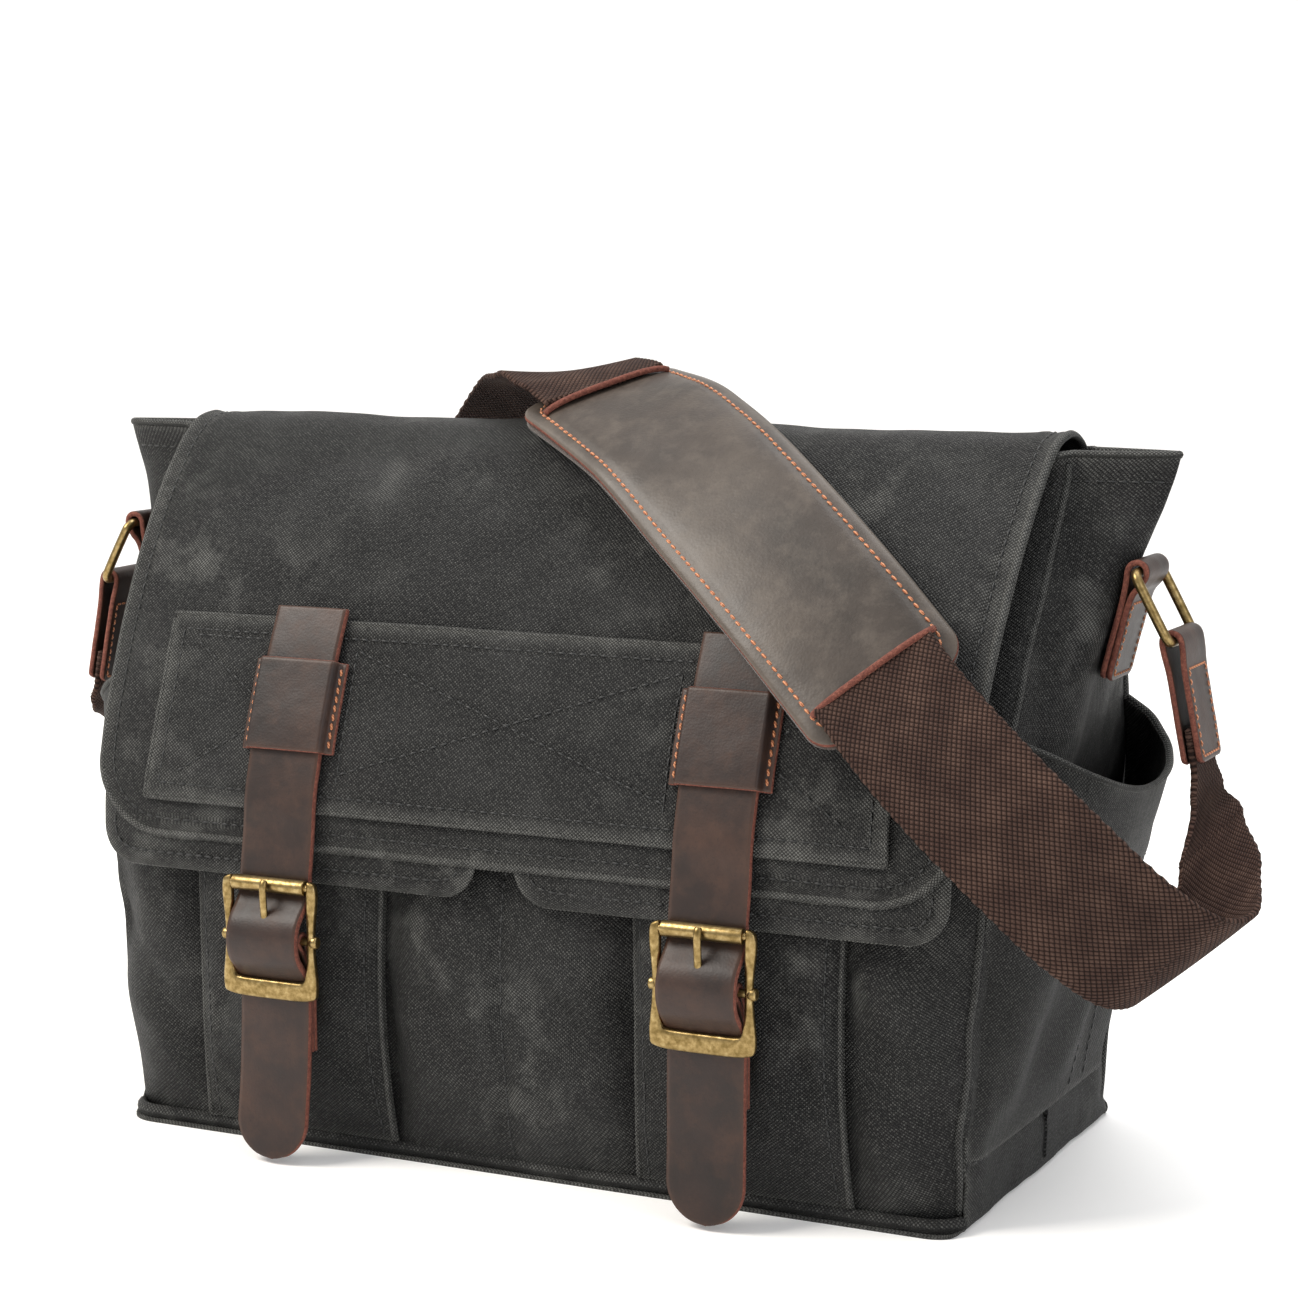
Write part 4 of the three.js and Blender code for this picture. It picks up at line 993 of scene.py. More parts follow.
def pocket_flap_point(side, x_share, z, inset=0.0, out=CANVAS):
    half = rounded_half(82 - inset, z - 106 - inset, 14 - inset)
    x = side * (90 + x_share * half)
    stand = GAP + 12.2 * smooth((150 - z) / 18)
    return stack(x, front_y(x, z) - stand - out, z)


for label, side in SIDES:
    def lip(u, v, side=side):
        return pocket_flap_point(side, lerp(-1, 1, u), lerp(150, 106, np.sin(v * math.pi / 2)))

    def lip_relief(points, u, v, side=side):
        return rumple(points, 41 + side, 60, 0.5) * smooth(v * 4)

    flap_cloth, record = sheet(
        f"pocket_flap_{label}_cloth", lip, (84, 30), CANVAS, WAXED_CANVAS, (0, -1, 0), lip_relief, wear_width=2.5
    )
    body = f"pocket_flap_{label}_body"
    carry(body, flap_cloth, "waxed_canvas", f"pocket_flap_{label}")
    down = np.linspace(148, 112.5, 24)
    across = np.r_[np.full(24, -1.0), np.linspace(-0.97, 0.97, 40), np.full(24, 1.0)]
    line = pocket_flap_point(side, across, np.r_[down, np.full(40, 111.5), down[::-1]], 5.5, 1.75)
    outward = np.tile((0, -1.0, 0.05), (len(line), 1))
    carry(body, stitch_rows(f"pocket_flap_{label}_stitches", [(line, outward)], BLACK_THREAD))
print("pocket flaps (mm) 164 by 44")

# %% [markdown]
# ## The main flap
# The flap is one wide panel that folds over the top and hangs down the front.
# Its outer line is a smooth curve from the back seam to the hem. Two layers are
# turned at the edge and stitched 7 mm in, so a pale rubbed roll shows outside a
# row of black stitches.

# %% Flap line
FLAP_HALF_TOP, FLAP_HALF_HEM, FLAP_CORNER, FLAP_CANVAS = 182.0, 175.0, 30.0, 2.0


def spline(points, steps=60):
    """A dense smooth line through given points."""
    p = np.array(points, float)
    q = np.vstack([p[:1], p, p[-1:]])
    line = []
    for a, b, c, d in zip(q, q[1:], q[2:], q[3:]):
        t = np.linspace(0, 1, steps, endpoint=False)[:, None]
        leave, arrive = (c - a) / 2, (d - b) / 2
        line.append(
            (2 * b - 2 * c + leave + arrive) * t**3 + (3 * c - 3 * b - 2 * leave - arrive) * t**2 + leave * t + b
        )
    return np.vstack(line + [p[-1:]])


FLAP_LINE = spline(
    [(13, 260.5), (9.5, 268), (0, 272.5), (-10, 273), (-22, 269.5), (-38, 256.5), (-60, 231),
     (-79, 200), (-92.5, 168), (-98.5, 150), (-102.2, 136), (-104, 118)]
)
FLAP_RUN = distances(FLAP_LINE)
FLAP_LENGTH = float(FLAP_RUN[-1])
FLAP_WAY = unit(np.gradient(FLAP_LINE, FLAP_RUN, axis=0))


def flap_share_at(height):
    """The share of the flap's length where it comes down to a height."""
    falling = FLAP_LINE[:, 0] < -14
    return np.interp(-np.asarray(height, float), -FLAP_LINE[falling, 1], FLAP_RUN[falling]) / FLAP_LENGTH


def flap_half(share):
    return lerp(FLAP_HALF_TOP, FLAP_HALF_HEM, share)


def above_flap(x, share, out):
    """A point at x and a share of the flap's length, standing out from its face."""
    at = np.clip(share, 0, 1) * FLAP_LENGTH
    y, z = along(FLAP_LINE, FLAP_RUN, at)
    along_y, along_z = along(FLAP_WAY, FLAP_RUN, at)
    edge = np.maximum(0, (np.abs(x) / flap_half(share) - 0.75) / 0.25)
    stand = out - 4 * smooth(share * 2) * edge * edge
    return stack(x, y + along_z * stand, z - along_y * stand)


def flap_inset(inset, count=260):
    """Places (x, share) on a line that runs inside the flap's edge."""
    foot = 1 - inset / FLAP_LENGTH
    share = np.r_[np.linspace(0.02, foot - 0.1, count // 2), foot - 0.1 * (1 - np.sin(np.linspace(0, math.pi / 2, 40)))]
    reach = rounded_half(flap_half(share) - inset, (foot - share) * FLAP_LENGTH, FLAP_CORNER - inset)
    across = np.linspace(-reach[-1], reach[-1], 80)[1:-1]
    return np.r_[-reach, across, reach[::-1]], np.r_[share, np.full(78, foot), share[::-1]]


print("flap length (mm)", round(FLAP_LENGTH))

# %% Main flap cloth
KNEE = 1 - 36 / FLAP_LENGTH  # rows crowd together below here, round the corners


def flap_face(u, v):
    eased = np.sin(np.clip((v - 0.82) / 0.18, 0, 1) * math.pi / 2)
    share = np.where(v < 0.82, v / 0.82 * KNEE, KNEE + (1 - KNEE) * eased)
    half = rounded_half(flap_half(share), (1 - share) * FLAP_LENGTH, FLAP_CORNER)
    return above_flap(lerp(-1, 1, u) * half, share, 0.0)


def flap_uv(x, share):
    """(u, v) on the flap sheet of a place given as x and share."""
    half = rounded_half(flap_half(share), (1 - share) * FLAP_LENGTH, FLAP_CORNER)
    turn = np.arcsin(np.clip((share - KNEE) / (1 - KNEE), 0, 1)) * 2 / math.pi
    return (x / half + 1) / 2, np.where(share < KNEE, share / KNEE * 0.82, 0.82 + 0.18 * turn)


STITCH_X, STITCH_SHARE = flap_inset(6.5)


def flap_relief(points, u, v):
    """A pressed stitch line, a fuller rolled edge, and slow waves above."""
    line = above_flap(STITCH_X, STITCH_SHARE, 0.0)
    gap = nearest(points, line)
    z = points[..., 2]
    above = smooth((z - 196) / 30)
    total = rumple(points, 51, 120, 1.5) * (0.22 + 0.78 * above) + rumple(points, 52, 42, 0.32)
    total = pressed(total, points, (
        ((-150, -70, 226), (-60, -56, 240), 14, 1.2), ((-40, -64, 224), (20, -46, 246), 12, -1.0),
        ((-168, -84, 206), (-120, -58, 232), 12, -1.0), ((120, -84, 210), (172, -56, 236), 13, 1.1),
    ))
    return total - 0.5 * np.exp(-((gap / 1.3) ** 2)) + 0.35 * np.exp(-(((gap - 3.6) / 2.0) ** 2))


flap_cloth, FLAP_RECORD = sheet(
    "main_flap_cloth", flap_face, (196, 150), FLAP_CANVAS, WAXED_CANVAS, (0, -1, 0.6), flap_relief,
    wear_width=3.0, rim=0.45,
)
carry("flap_body", flap_cloth, "waxed_canvas", "flap")


def on_flap(x, share, lift=0.0):
    """Points and normals on the finished flap at places (x, share)."""
    return on_sheet(FLAP_RECORD, *flap_uv(np.asarray(x, float), np.asarray(share, float)), lift)


carry("flap_body", stitch_rows("main_flap_stitches", [on_flap(STITCH_X, STITCH_SHARE)], BLACK_THREAD))
ROLL_X, ROLL_SHARE = flap_inset(1.0)
roll_line = on_flap(ROLL_X, ROLL_SHARE, -0.75)[0]
roll = tube("main_flap_rolled_edge", roll_line, 1.55, 8, WAXED_CANVAS, up=(0, -1, 0.4), wear=0.85)
carry("flap_body", roll, "waxed_canvas")
print("flap area (m2)", round(sum(p.area for p in flap_cloth.data.polygons) / 2, 4))

# %% [markdown]
# ## The strap patch
# A band of canvas is sewn across the flap to carry the buckled straps. It is
# stitched round its edge, crossed by two long diagonals between the straps and
# closed by short lines at its ends.

# %% Patch
PATCH_HALF, PATCH_HIGH, PATCH_LOW = 150.0, 199.0, 133.0
PATCH_SHARES = flap_share_at([PATCH_HIGH, PATCH_LOW])


def patch_face(u, v):
    x = lerp(-PATCH_HALF, PATCH_HALF, u) * (1 - 0.01 * np.sin(math.pi * v))
    points, _ = on_flap(x.ravel(), lerp(PATCH_SHARES[0], PATCH_SHARES[1], v).ravel(), 1.75)
    return points.reshape(*u.shape, 3)


def diagonal(x0, z0, x1, z1, count=60):
    return np.linspace(x0, x1, count), np.linspace(z0, z1, count)


PATCH_LINES = [
    diagonal(-145, 194, 145, 194, 120), diagonal(145, 194, 145, 138, 30), diagonal(145, 138, -145, 138, 120),
    diagonal(-145, 138, -145, 194, 30), diagonal(-67, 190, 67, 146), diagonal(-67, 146, 67, 190),
    diagonal(-109, 192, -139, 192, 10), diagonal(-138, 190, -109, 172, 20), diagonal(109, 172, 138, 190, 20),
    diagonal(-109, 160, -138, 142, 20), diagonal(109, 160, 138, 142, 20), diagonal(-67, 190, -67, 142, 20),
    diagonal(67, 190, 67, 142, 20),
]


def patch_relief(points, u, v):
    path = np.vstack([on_flap(x, flap_share_at(z), 1.75)[0] for x, z in PATCH_LINES])
    gap = nearest(points, path)
    sunk, puffed = np.exp(-((gap / 1.2) ** 2)), np.exp(-(((gap - 3.2) / 1.8) ** 2))
    return rumple(points, 61, 30, 0.28) - 0.45 * sunk + 0.22 * puffed


patch, PATCH_RECORD = sheet(
    "strap_patch_cloth", patch_face, (190, 46), 1.5, WAXED_CANVAS, (0, -1, 0.3), patch_relief, wear_width=2.0, rim=0.5
)
carry("flap_body", patch, "waxed_canvas", "flap_patch")


def on_patch(x, height):
    share = flap_share_at(height)
    v = (share - PATCH_SHARES[0]) / (PATCH_SHARES[1] - PATCH_SHARES[0])
    return on_sheet(PATCH_RECORD, (np.asarray(x, float) / PATCH_HALF + 1) / 2, v)


carry("flap_body", stitch_rows("strap_patch_stitches", [on_patch(x, z) for x, z in PATCH_LINES], BLACK_THREAD))
border = PATCH_RECORD["rim"]
bead_line = border - np.array([0, 0.3, 0])
beads = tube("strap_patch_edge", bead_line, 0.95, 8, WAXED_CANVAS, closed=True, up=(0, -1, 0), wear=0.8)
carry("flap_body", beads, "waxed_canvas")
print("patch lines of stitching", len(PATCH_LINES))

# %% [markdown]
# ## Leather straps
# Each strap is one tongue of thick leather. It lies on the patch, passes behind
# the buckle's roller, bulges forward over the centre bar, tucks behind the foot
# and hangs as a free tail with a round tip. Its cut edges are left raw, so the
# rim of the sheet gets its own finish.

# %% Straps and keepers
STRAP_X, STRAP_HALF, STRAP_THICK = 88.0, 15.0, 3.0
BUCKLE_Y, BUCKLE_Z = -114.5, 86.0
ON_PATCH = 2.5


def leather(name, face, steps, thick, towards, ripple, wear_width, rim):
    """A piece of strap leather whose cut rim is left raw; ripple is (seed, size, height)."""
    return sheet(
        name, face, steps, thick, STRAP_LEATHER, towards, lambda points, u, v: rumple(points, *ripple),
        wear_width, rim, (RAW_EDGE,), 1,
    )


def strap_line():
    """The strap's centre line in (y, z), threaded through the buckle."""
    points = []
    for height in (203, 190, 177, 164, 150, 136, 124):
        at = above_flap(0.0, flap_share_at(height), ON_PATCH + STRAP_THICK / 2)
        points.append((at[1], at[2]))
    for y, z in ((4.7, 24), (4.6, 18.4), (1.4, 12.6), (-4, 6.4), (-5.8, 0), (-4.4, -6.5), (0.9, -13), (3.7, -19),
                 (3.7, -26), (3.3, -38), (2.6, -54), (1.2, -70), (0, -84)):
        points.append((BUCKLE_Y + y, BUCKLE_Z + z))
    return spline(points, 24)


STRAP_LINE = strap_line()
STRAP_RUN = distances(STRAP_LINE)
STRAP_WAY = unit(np.gradient(STRAP_LINE, STRAP_RUN, axis=0))


def strap_face(x, side):
    def face(u, v):
        length = STRAP_RUN[-1] - 0.12
        eased = np.sin(np.clip((v - 0.9) / 0.1, 0, 1) * math.pi / 2)
        at = np.where(v < 0.9, v / 0.9 * (length - 14), length - 14 + 14 * eased)
        y, z = along(STRAP_LINE, STRAP_RUN, at)
        along_y, along_z = along(STRAP_WAY, STRAP_RUN, at)
        half = rounded_half(STRAP_HALF - 0.25, STRAP_RUN[-1] - at, STRAP_HALF - 0.25)
        sway = 1.1 * np.sin((at - 150) / 46) * smooth((at - 150) / 60) * side
        tilt = 0.8 * smooth((at - 130) / 50) * lerp(-1, 1, u)
        out = STRAP_THICK / 2 + 0.35 * (1 - lerp(-1, 1, u) ** 2)
        return stack(x + lerp(-1, 1, u) * half + sway, y + along_z * out - 0.3 * tilt, z - along_y * out)

    return face


def keeper_profile(across):
    """How far a keeper stands off the patch at a distance from its middle."""
    over = 1 - smooth((np.abs(across) - STRAP_HALF - 0.4) / 2.2)
    return lerp(ON_PATCH - 0.3, ON_PATCH + STRAP_THICK + 0.6, over)


for label, side in SIDES:
    x = side * STRAP_X
    strap, record = leather(
        f"strap_{label}_leather", strap_face(x, side), (20, 210), STRAP_THICK - 0.1,
        (0, -1, 0.2), (71, 26, 0.12), 1.0, 0.16,
    )
    carry("flap_body", strap, "strap_leather", f"strap_{label}")

    def keeper_face(u, v, x=x):
        across = lerp(-19.4, 19.4, u)
        z = lerp(184.5, 153, v)
        rise = 0.35 * np.cos(across / 19 * math.pi / 2)
        return above_flap(x + across, flap_share_at(z), keeper_profile(across) + 1.8 + rise)

    keeper, record = leather(
        f"keeper_{label}_leather", keeper_face, (56, 30), 1.8, (0, -1, 0.2), (73, 18, 0.1), 0.9, 0.2
    )
    carry("flap_body", keeper, "strap_leather", f"keeper_{label}")
    down = np.linspace(0.05, 0.95, 20)
    rows = [on_sheet(record, np.full(20, edge), down) for edge in (0.045, 0.955)]
    carry("flap_body", stitch_rows(
        f"keeper_{label}_stitches", rows, COPPER_THREAD, length=2.8, pitch=3.3, thick=0.5, slant=0.25
    ))
print("strap length (mm)", round(float(STRAP_RUN[-1])))

# %% [markdown]
# ## Buckles
# A cast buckle is a flat frame with waisted sides and heavy corners, a centre
# bar and a roller on its top bar. The frame starts as a grid of faces, loses
# the faces of its window, is pulled to its waisted outline, extruded to its
# thickness, bevelled and subdivided, so it gets the soft edges of a casting.

# %% Buckle frames
def place_mesh(made, x=0.0, y=0.0, z=0.0):
    """Moves a piece's mesh by millimetres, so its object stays at the origin."""
    for vertex in made.data.vertices:
        vertex.co += Vector((x, y, z)) * MM


def deselect():
    for thing in bpy.context.selected_objects:
        thing.select_set(False)


def settle(made, name):
    """Moves an object's own placing into its mesh and names it."""
    made.name = made.data.name = name
    made.data.transform(made.matrix_world)
    made.matrix_world.identity()
    made.data.attributes.new("wear", "FLOAT", "POINT")
    return made


def apply_modifier(made, kind, **settings):
    modifier = made.modifiers.new(kind.title(), kind)
    for name, value in settings.items():
        setattr(modifier, name, value)
    deselect()
    made.select_set(True)
    bpy.context.view_layer.objects.active = made
    bpy.ops.object.modifier_apply(modifier=modifier.name)


FRAME_X = (-21.0, -16.0, 0.0, 16.0, 21.0)
FRAME_Z = (63.0, 70.4, 77.0, 86.0, 95.0, 102.5, 109.2)


def buckle_frame(name, x):
    deselect()
    bpy.ops.mesh.primitive_grid_add(x_subdivisions=4, y_subdivisions=6, size=1)
    made = settle(bpy.context.active_object, name)
    columns = sorted({round(v.co.x, 4) for v in made.data.vertices})
    rows = sorted({round(v.co.y, 4) for v in made.data.vertices})
    for vertex in made.data.vertices:
        i, j = columns.index(round(vertex.co.x, 4)), rows.index(round(vertex.co.y, 4))
        height = FRAME_Z[j]
        waist = 2.1 * math.sin(math.pi * (height - 63) / 46.2) ** 2
        across = FRAME_X[i] * (1 - waist / 21) if i in (0, 4) else FRAME_X[i]
        if i in (1, 3) and j in (0, 1):
            across *= 0.93
        if i in (0, 4) and j in (0, 6):
            across, height = across * 0.955, height + (1.5 if j == 0 else -1.6)
        vertex.co = Vector((across, 0, height)) * MM
    bpy.ops.object.mode_set(mode="EDIT")
    bpy.ops.mesh.select_all(action="DESELECT")
    bpy.ops.mesh.select_mode(type="FACE")
    bpy.ops.object.mode_set(mode="OBJECT")
    for face in made.data.polygons:
        face.select = abs(face.center.x) < 16 * MM and face.center.z > 70.4 * MM
    bpy.ops.object.mode_set(mode="EDIT")
    bpy.ops.mesh.delete(type="FACE")
    bpy.ops.mesh.select_all(action="SELECT")
    bpy.ops.mesh.extrude_region_move(TRANSFORM_OT_translate={"value": (0, 3.6 * MM, 0)})
    bpy.ops.mesh.select_all(action="SELECT")
    bpy.ops.mesh.normals_make_consistent(inside=False)
    bpy.ops.object.mode_set(mode="OBJECT")
    apply_modifier(made, "BEVEL", width=0.9 * MM, segments=1, limit_method="ANGLE")
    apply_modifier(made, "SUBSURF", levels=2, render_levels=2)
    place_mesh(made, x, BUCKLE_Y - 1.8, 0)
    made.data.materials.append(BRASS)
    made.data.shade_smooth()
    return made


def turned_rod(name, radius, length, x, y, z, rounding=0.5):
    """A round bar along X with softened ends."""
    deselect()
    bpy.ops.mesh.primitive_cylinder_add(
        vertices=36, radius=radius * MM, depth=length * MM,
        location=(x * MM, y * MM, z * MM), rotation=(0, math.pi / 2, 0),
    )
    made = settle(bpy.context.active_object, name)
    apply_modifier(made, "BEVEL", width=rounding * MM, segments=3, limit_method="ANGLE")
    made.data.materials.append(BRASS)
    made.data.shade_smooth()
    return made


def join(name, pieces):
    """Joins pieces that are cast as one."""
    deselect()
    for piece in pieces:
        piece.select_set(True)
    bpy.context.view_layer.objects.active = pieces[0]
    bpy.ops.object.join()
    pieces[0].name = pieces[0].data.name = name
    return pieces[0]


for label, side in SIDES:
    x = side * STRAP_X
    parts = [
        buckle_frame("casting", x),
        turned_rod("centre_bar", 1.55, 40.5, x, BUCKLE_Y + 0.2, BUCKLE_Z, 0.6),
        turned_rod("top_bar", 1.4, 36.0, x, BUCKLE_Y, 106.0, 0.2),
        turned_rod("left_boss", 2.3, 3.2, x - 18.9, BUCKLE_Y + 0.2, BUCKLE_Z, 0.9),
        turned_rod("right_boss", 2.3, 3.2, x + 18.9, BUCKLE_Y + 0.2, BUCKLE_Z, 0.9),
    ]
    frame_piece = join(f"buckle_{label}_cast_frame", parts)
    carry("flap_body", frame_piece, "antique_brass", f"buckle_frame_{label}")
    roller = turned_rod(f"buckle_{label}_turned_roller", 2.85, 31.0, x, BUCKLE_Y - 0.1, 106.0, 0.45)
    carry(f"roller_{label}_body", roller, "antique_brass", f"buckle_roller_{label}")
    tongue = [(2.3, 1.8), (3.0, -0.6), (1.5, -2.9), (-1.3, -2.9), (-3.1, -0.6), (-3.6, 5), (-4.3, 12), (-4.75, 17),
              (-4.75, 20), (-4.3, 21.4), (-3.7, 22)]
    path = spline([(x, BUCKLE_Y + y, BUCKLE_Z + z) for y, z in tongue], 6)
    prong = tube(f"buckle_{label}_bent_prong", path, 1.5, 14, BRASS, flat=0.72, up=(0, 1, 0.001), wear=0)
    apply_modifier(prong, "SUBSURF", levels=1, render_levels=1)
    carry(f"prong_{label}_body", prong, "antique_brass", f"buckle_prong_{label}")
    for part in ("base", "cap"):
        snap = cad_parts[f"snap_{part}_{label}"]
        for item in snap.material_slots:
            item.material = BRASS
print("buckle frame faces", len(frame_piece.data.polygons))

# %% [markdown]
# ## Chapes
# A folded strip of leather holds each buckle by its centre bar and hides a snap
# behind it. Seen from the side, its two raw layers show below the buckle.

# %% Chapes
def folded_leather(name, line, half, centre_x, towards, thick):
    """Leather folded along a (y, z) line and cut straight across X."""
    path = spline(line, 16)
    run = distances(path)

    def face(u, v):
        y, z = along(path, run, v * run[-1])
        return stack(centre_x + lerp(-1, 1, u) * half, y, z)

    return leather(name, face, (20, 90), thick, towards, (81, 20, 0.1), 0.9, 0.16)


for label, side in SIDES:
    fold = [(9.3, -43), (9.3, -28), (9.2, -15), (6.5, -8), (3.9, -2), (3.2, 1.6), (0, 3.6), (-3.4, 1.0), (-3.2, -1.6),
            (-0.2, -4.6), (2.4, -9), (4.9, -16), (5.3, -28), (5.4, -43)]
    chape, record = folded_leather(
        f"chape_{label}_leather", [(BUCKLE_Y + y, BUCKLE_Z + z) for y, z in fold], 13.8, side * STRAP_X,
        np.array([0, 0.0, 1.0]), 1.9,
    )
    carry("flap_body", chape, "strap_leather", f"buckle_chape_{label}")
print("chapes made")

# %% [markdown]
# ## Rings, tabs and strap ends
# At each end a folded tab is sewn to the ridge and holds a rectangular ring of
# thick wire; the shoulder strap ends in a second folded tab on the ring's lower
# bar. The ring starts as a torus whose circle is pulled out to a rectangle.

# %% Rings and tabs
RING_X, RING_Y, RING_Z = 211, -9.0, 227
RING_LEAN = math.atan2(13, 24)
TAB_LEAN = math.radians(14)
END_LEAN = math.atan2(8.5, 43)


def hung(points, side, lean, at=(0.0, 0.0)):
    """Local (x, y, z) about a ring bar, turned by lean and put on its side."""
    x = points[..., 0] * math.cos(lean) + points[..., 2] * math.sin(lean) + at[0]
    z = -points[..., 0] * math.sin(lean) + points[..., 2] * math.cos(lean) + at[1]
    return stack(side * (RING_X + x), points[..., 1] + RING_Y, RING_Z + z)


def ring_wire(name, side):
    deselect()
    bpy.ops.mesh.primitive_torus_add(
        major_segments=88, minor_segments=18, major_radius=1.0, minor_radius=0.1, location=(0, 0, 0)
    )
    made = settle(bpy.context.active_object, name)
    half, tall, corner = 16.0, 13.65, 4.4
    for vertex in made.data.vertices:
        angle = math.atan2(vertex.co.y, vertex.co.x)
        reach = math.hypot(vertex.co.x, vertex.co.y) - 1
        way = np.array([math.cos(angle), math.sin(angle)])
        # each corner keeps its quarter arc and the sides between them are straight
        spot = np.clip(way * 3.2, -1, 1) * (half - corner, tall - corner)
        spot = spot + way * corner
        local = np.array([[vertex.co.z * 18, spot[0] + way[0] * reach * 18, spot[1] + way[1] * reach * 18 - tall]])
        vertex.co = Vector(hung(local, side, -RING_LEAN)[0]) * MM
    if side < 0:
        made.data.flip_normals()
    made.data.materials.append(BRASS)
    made.data.shade_smooth()
    return made


def loop_leather(name, outline, half, side, lean, at):
    """Leather folded round a ring bar, from a local (x, z) outline."""
    path = spline(outline, 14)
    run = distances(path)

    def face(u, v):
        where = v * run[-1]
        x, z = along(path, run, where)
        end = np.minimum(v, 1 - v) * run[-1]
        width = rounded_half(half, end, 3.0)
        return hung(stack(x, lerp(-1, 1, u) * width, z), side, lean, at)

    return leather(name, face, (22, 120), 2.05, (0.0, 0.0, 1.0), (83, 16, 0.1), 1.0, 0.18)


def tab_stitches(name, record, body, boxes):
    """Copper stitches round flat parts of a folded tab, each from v = low to high."""
    rows, share = [], np.linspace(0, 1, 24)
    for low, high in boxes:
        sides = (0.1, low, 0.1, high), (0.9, low, 0.9, high), (0.1, low, 0.9, low), (0.1, high, 0.9, high)
        for u0, v0, u1, v1 in sides:
            rows.append(on_sheet(record, lerp(u0, u1, share), lerp(v0, v1, share)))
    carry(body, stitch_rows(name, rows, COPPER_THREAD, length=2.4, pitch=3.0, thick=0.42))


for label, side in SIDES:
    ring = ring_wire(f"ring_{label}_wire", side)
    carry(f"ring_{label}_body", ring, "antique_brass", f"ring_{label}")
    tab_outline = [
        (0.9, -40), (0.9, -24), (1.2, -10), (3.2, -5.0), (4.5, -0.5), (3.2, 3.1), (0, 4.5), (-3.2, 3.1), (-4.5, 0),
                   (-3.9, -5), (-3.5, -12), (-3.5, -24), (-3.5, -40)]
    tab, record = loop_leather(f"ring_tab_{label}_leather", tab_outline, 12.2, side, TAB_LEAN, (0.0, 0.0))
    carry("bag", tab, "strap_leather", f"ring_tab_{label}")
    tab_stitches(f"ring_tab_{label}_stitches", record, "bag", [(0.02, 0.3)])
    end_outline = [
        (3.8, -43), (3.8, -26), (3.85, -11), (4.4, -4), (4.4, 0.5), (3.1, 3.2), (0, 4.5), (-3.1, 3.2), (-4.4, 0.5),
                   (-4.4, -4), (-3.85, -11), (-3.8, -26), (-3.8, -43)]
    end, record = loop_leather(f"strap_end_{label}_leather", end_outline, 12.4, side, -END_LEAN, (13.0, -24.0))
    carry(f"strap_end_{label}_body", end, "strap_leather", f"strap_end_{label}")
    tab_stitches(f"strap_end_{label}_stitches", record, f"strap_end_{label}_body", [(0.02, 0.33), (0.98, 0.67)])
print("ring spacing (mm)", 32)

# %% [markdown]
# ## Webbing and shoulder pad
# One length of webbing carries the bag. It is drawn as ribbons along listed
# stations, each with its own width direction, so it can twist and narrow. It is
# split where it crosses a joint. The piece that lies on one body is put on it;
# the pieces that cross a joint stay fixed where they are.

# %% Ribbon frames
def centripetal(points, t):
    """A centripetal curve through points, at t from 0 to 1."""
    p = np.vstack([2 * points[0] - points[1], points, 2 * points[-1] - points[-2]])
    span = np.clip(t, 0, 1) * (len(points) - 1)
    i = np.minimum(span.astype(int), len(points) - 2)
    w = (span - i)[..., None]
    a, b, c, d = (p[i + k] for k in range(4))
    gaps = [np.maximum(np.sum((q - r) ** 2, -1, keepdims=True) ** 0.25, 1e-4) for q, r in ((a, b), (b, c), (c, d))]
    leave = ((b - a) / gaps[0] - (c - a) / (gaps[0] + gaps[1]) + (c - b) / gaps[1]) * gaps[1]
    arrive = ((c - b) / gaps[1] - (d - b) / (gaps[1] + gaps[2]) + (d - c) / gaps[2]) * gaps[1]
    return (2 * b - 2 * c + leave + arrive) * w**3 + (3 * c - 3 * b - 2 * leave - arrive) * w**2 + leave * w + b


def ribbon_frame(stations, t):
    """Centre, width direction, outward direction and half width at t."""
    centres = np.array([s[0] for s in stations], float)
    ways = unit(np.array([s[1] for s in stations], float))
    halves = np.array([s[2] for s in stations], float)
    at = centripetal(centres, t)
    ahead = unit(centripetal(centres, np.clip(t + 1e-4, 0, 1)) - centripetal(centres, np.clip(t - 1e-4, 0, 1)))
    span = np.clip(t, 0, 1) * (len(stations) - 1)
    i = np.minimum(span.astype(int), len(stations) - 2)
    w = smooth(span - i)
    across = unit(ways[i] * (1 - w[..., None]) + ways[i + 1] * w[..., None])
    return at, across, unit(np.cross(ahead, across)), lerp(halves[i], halves[i + 1], w)


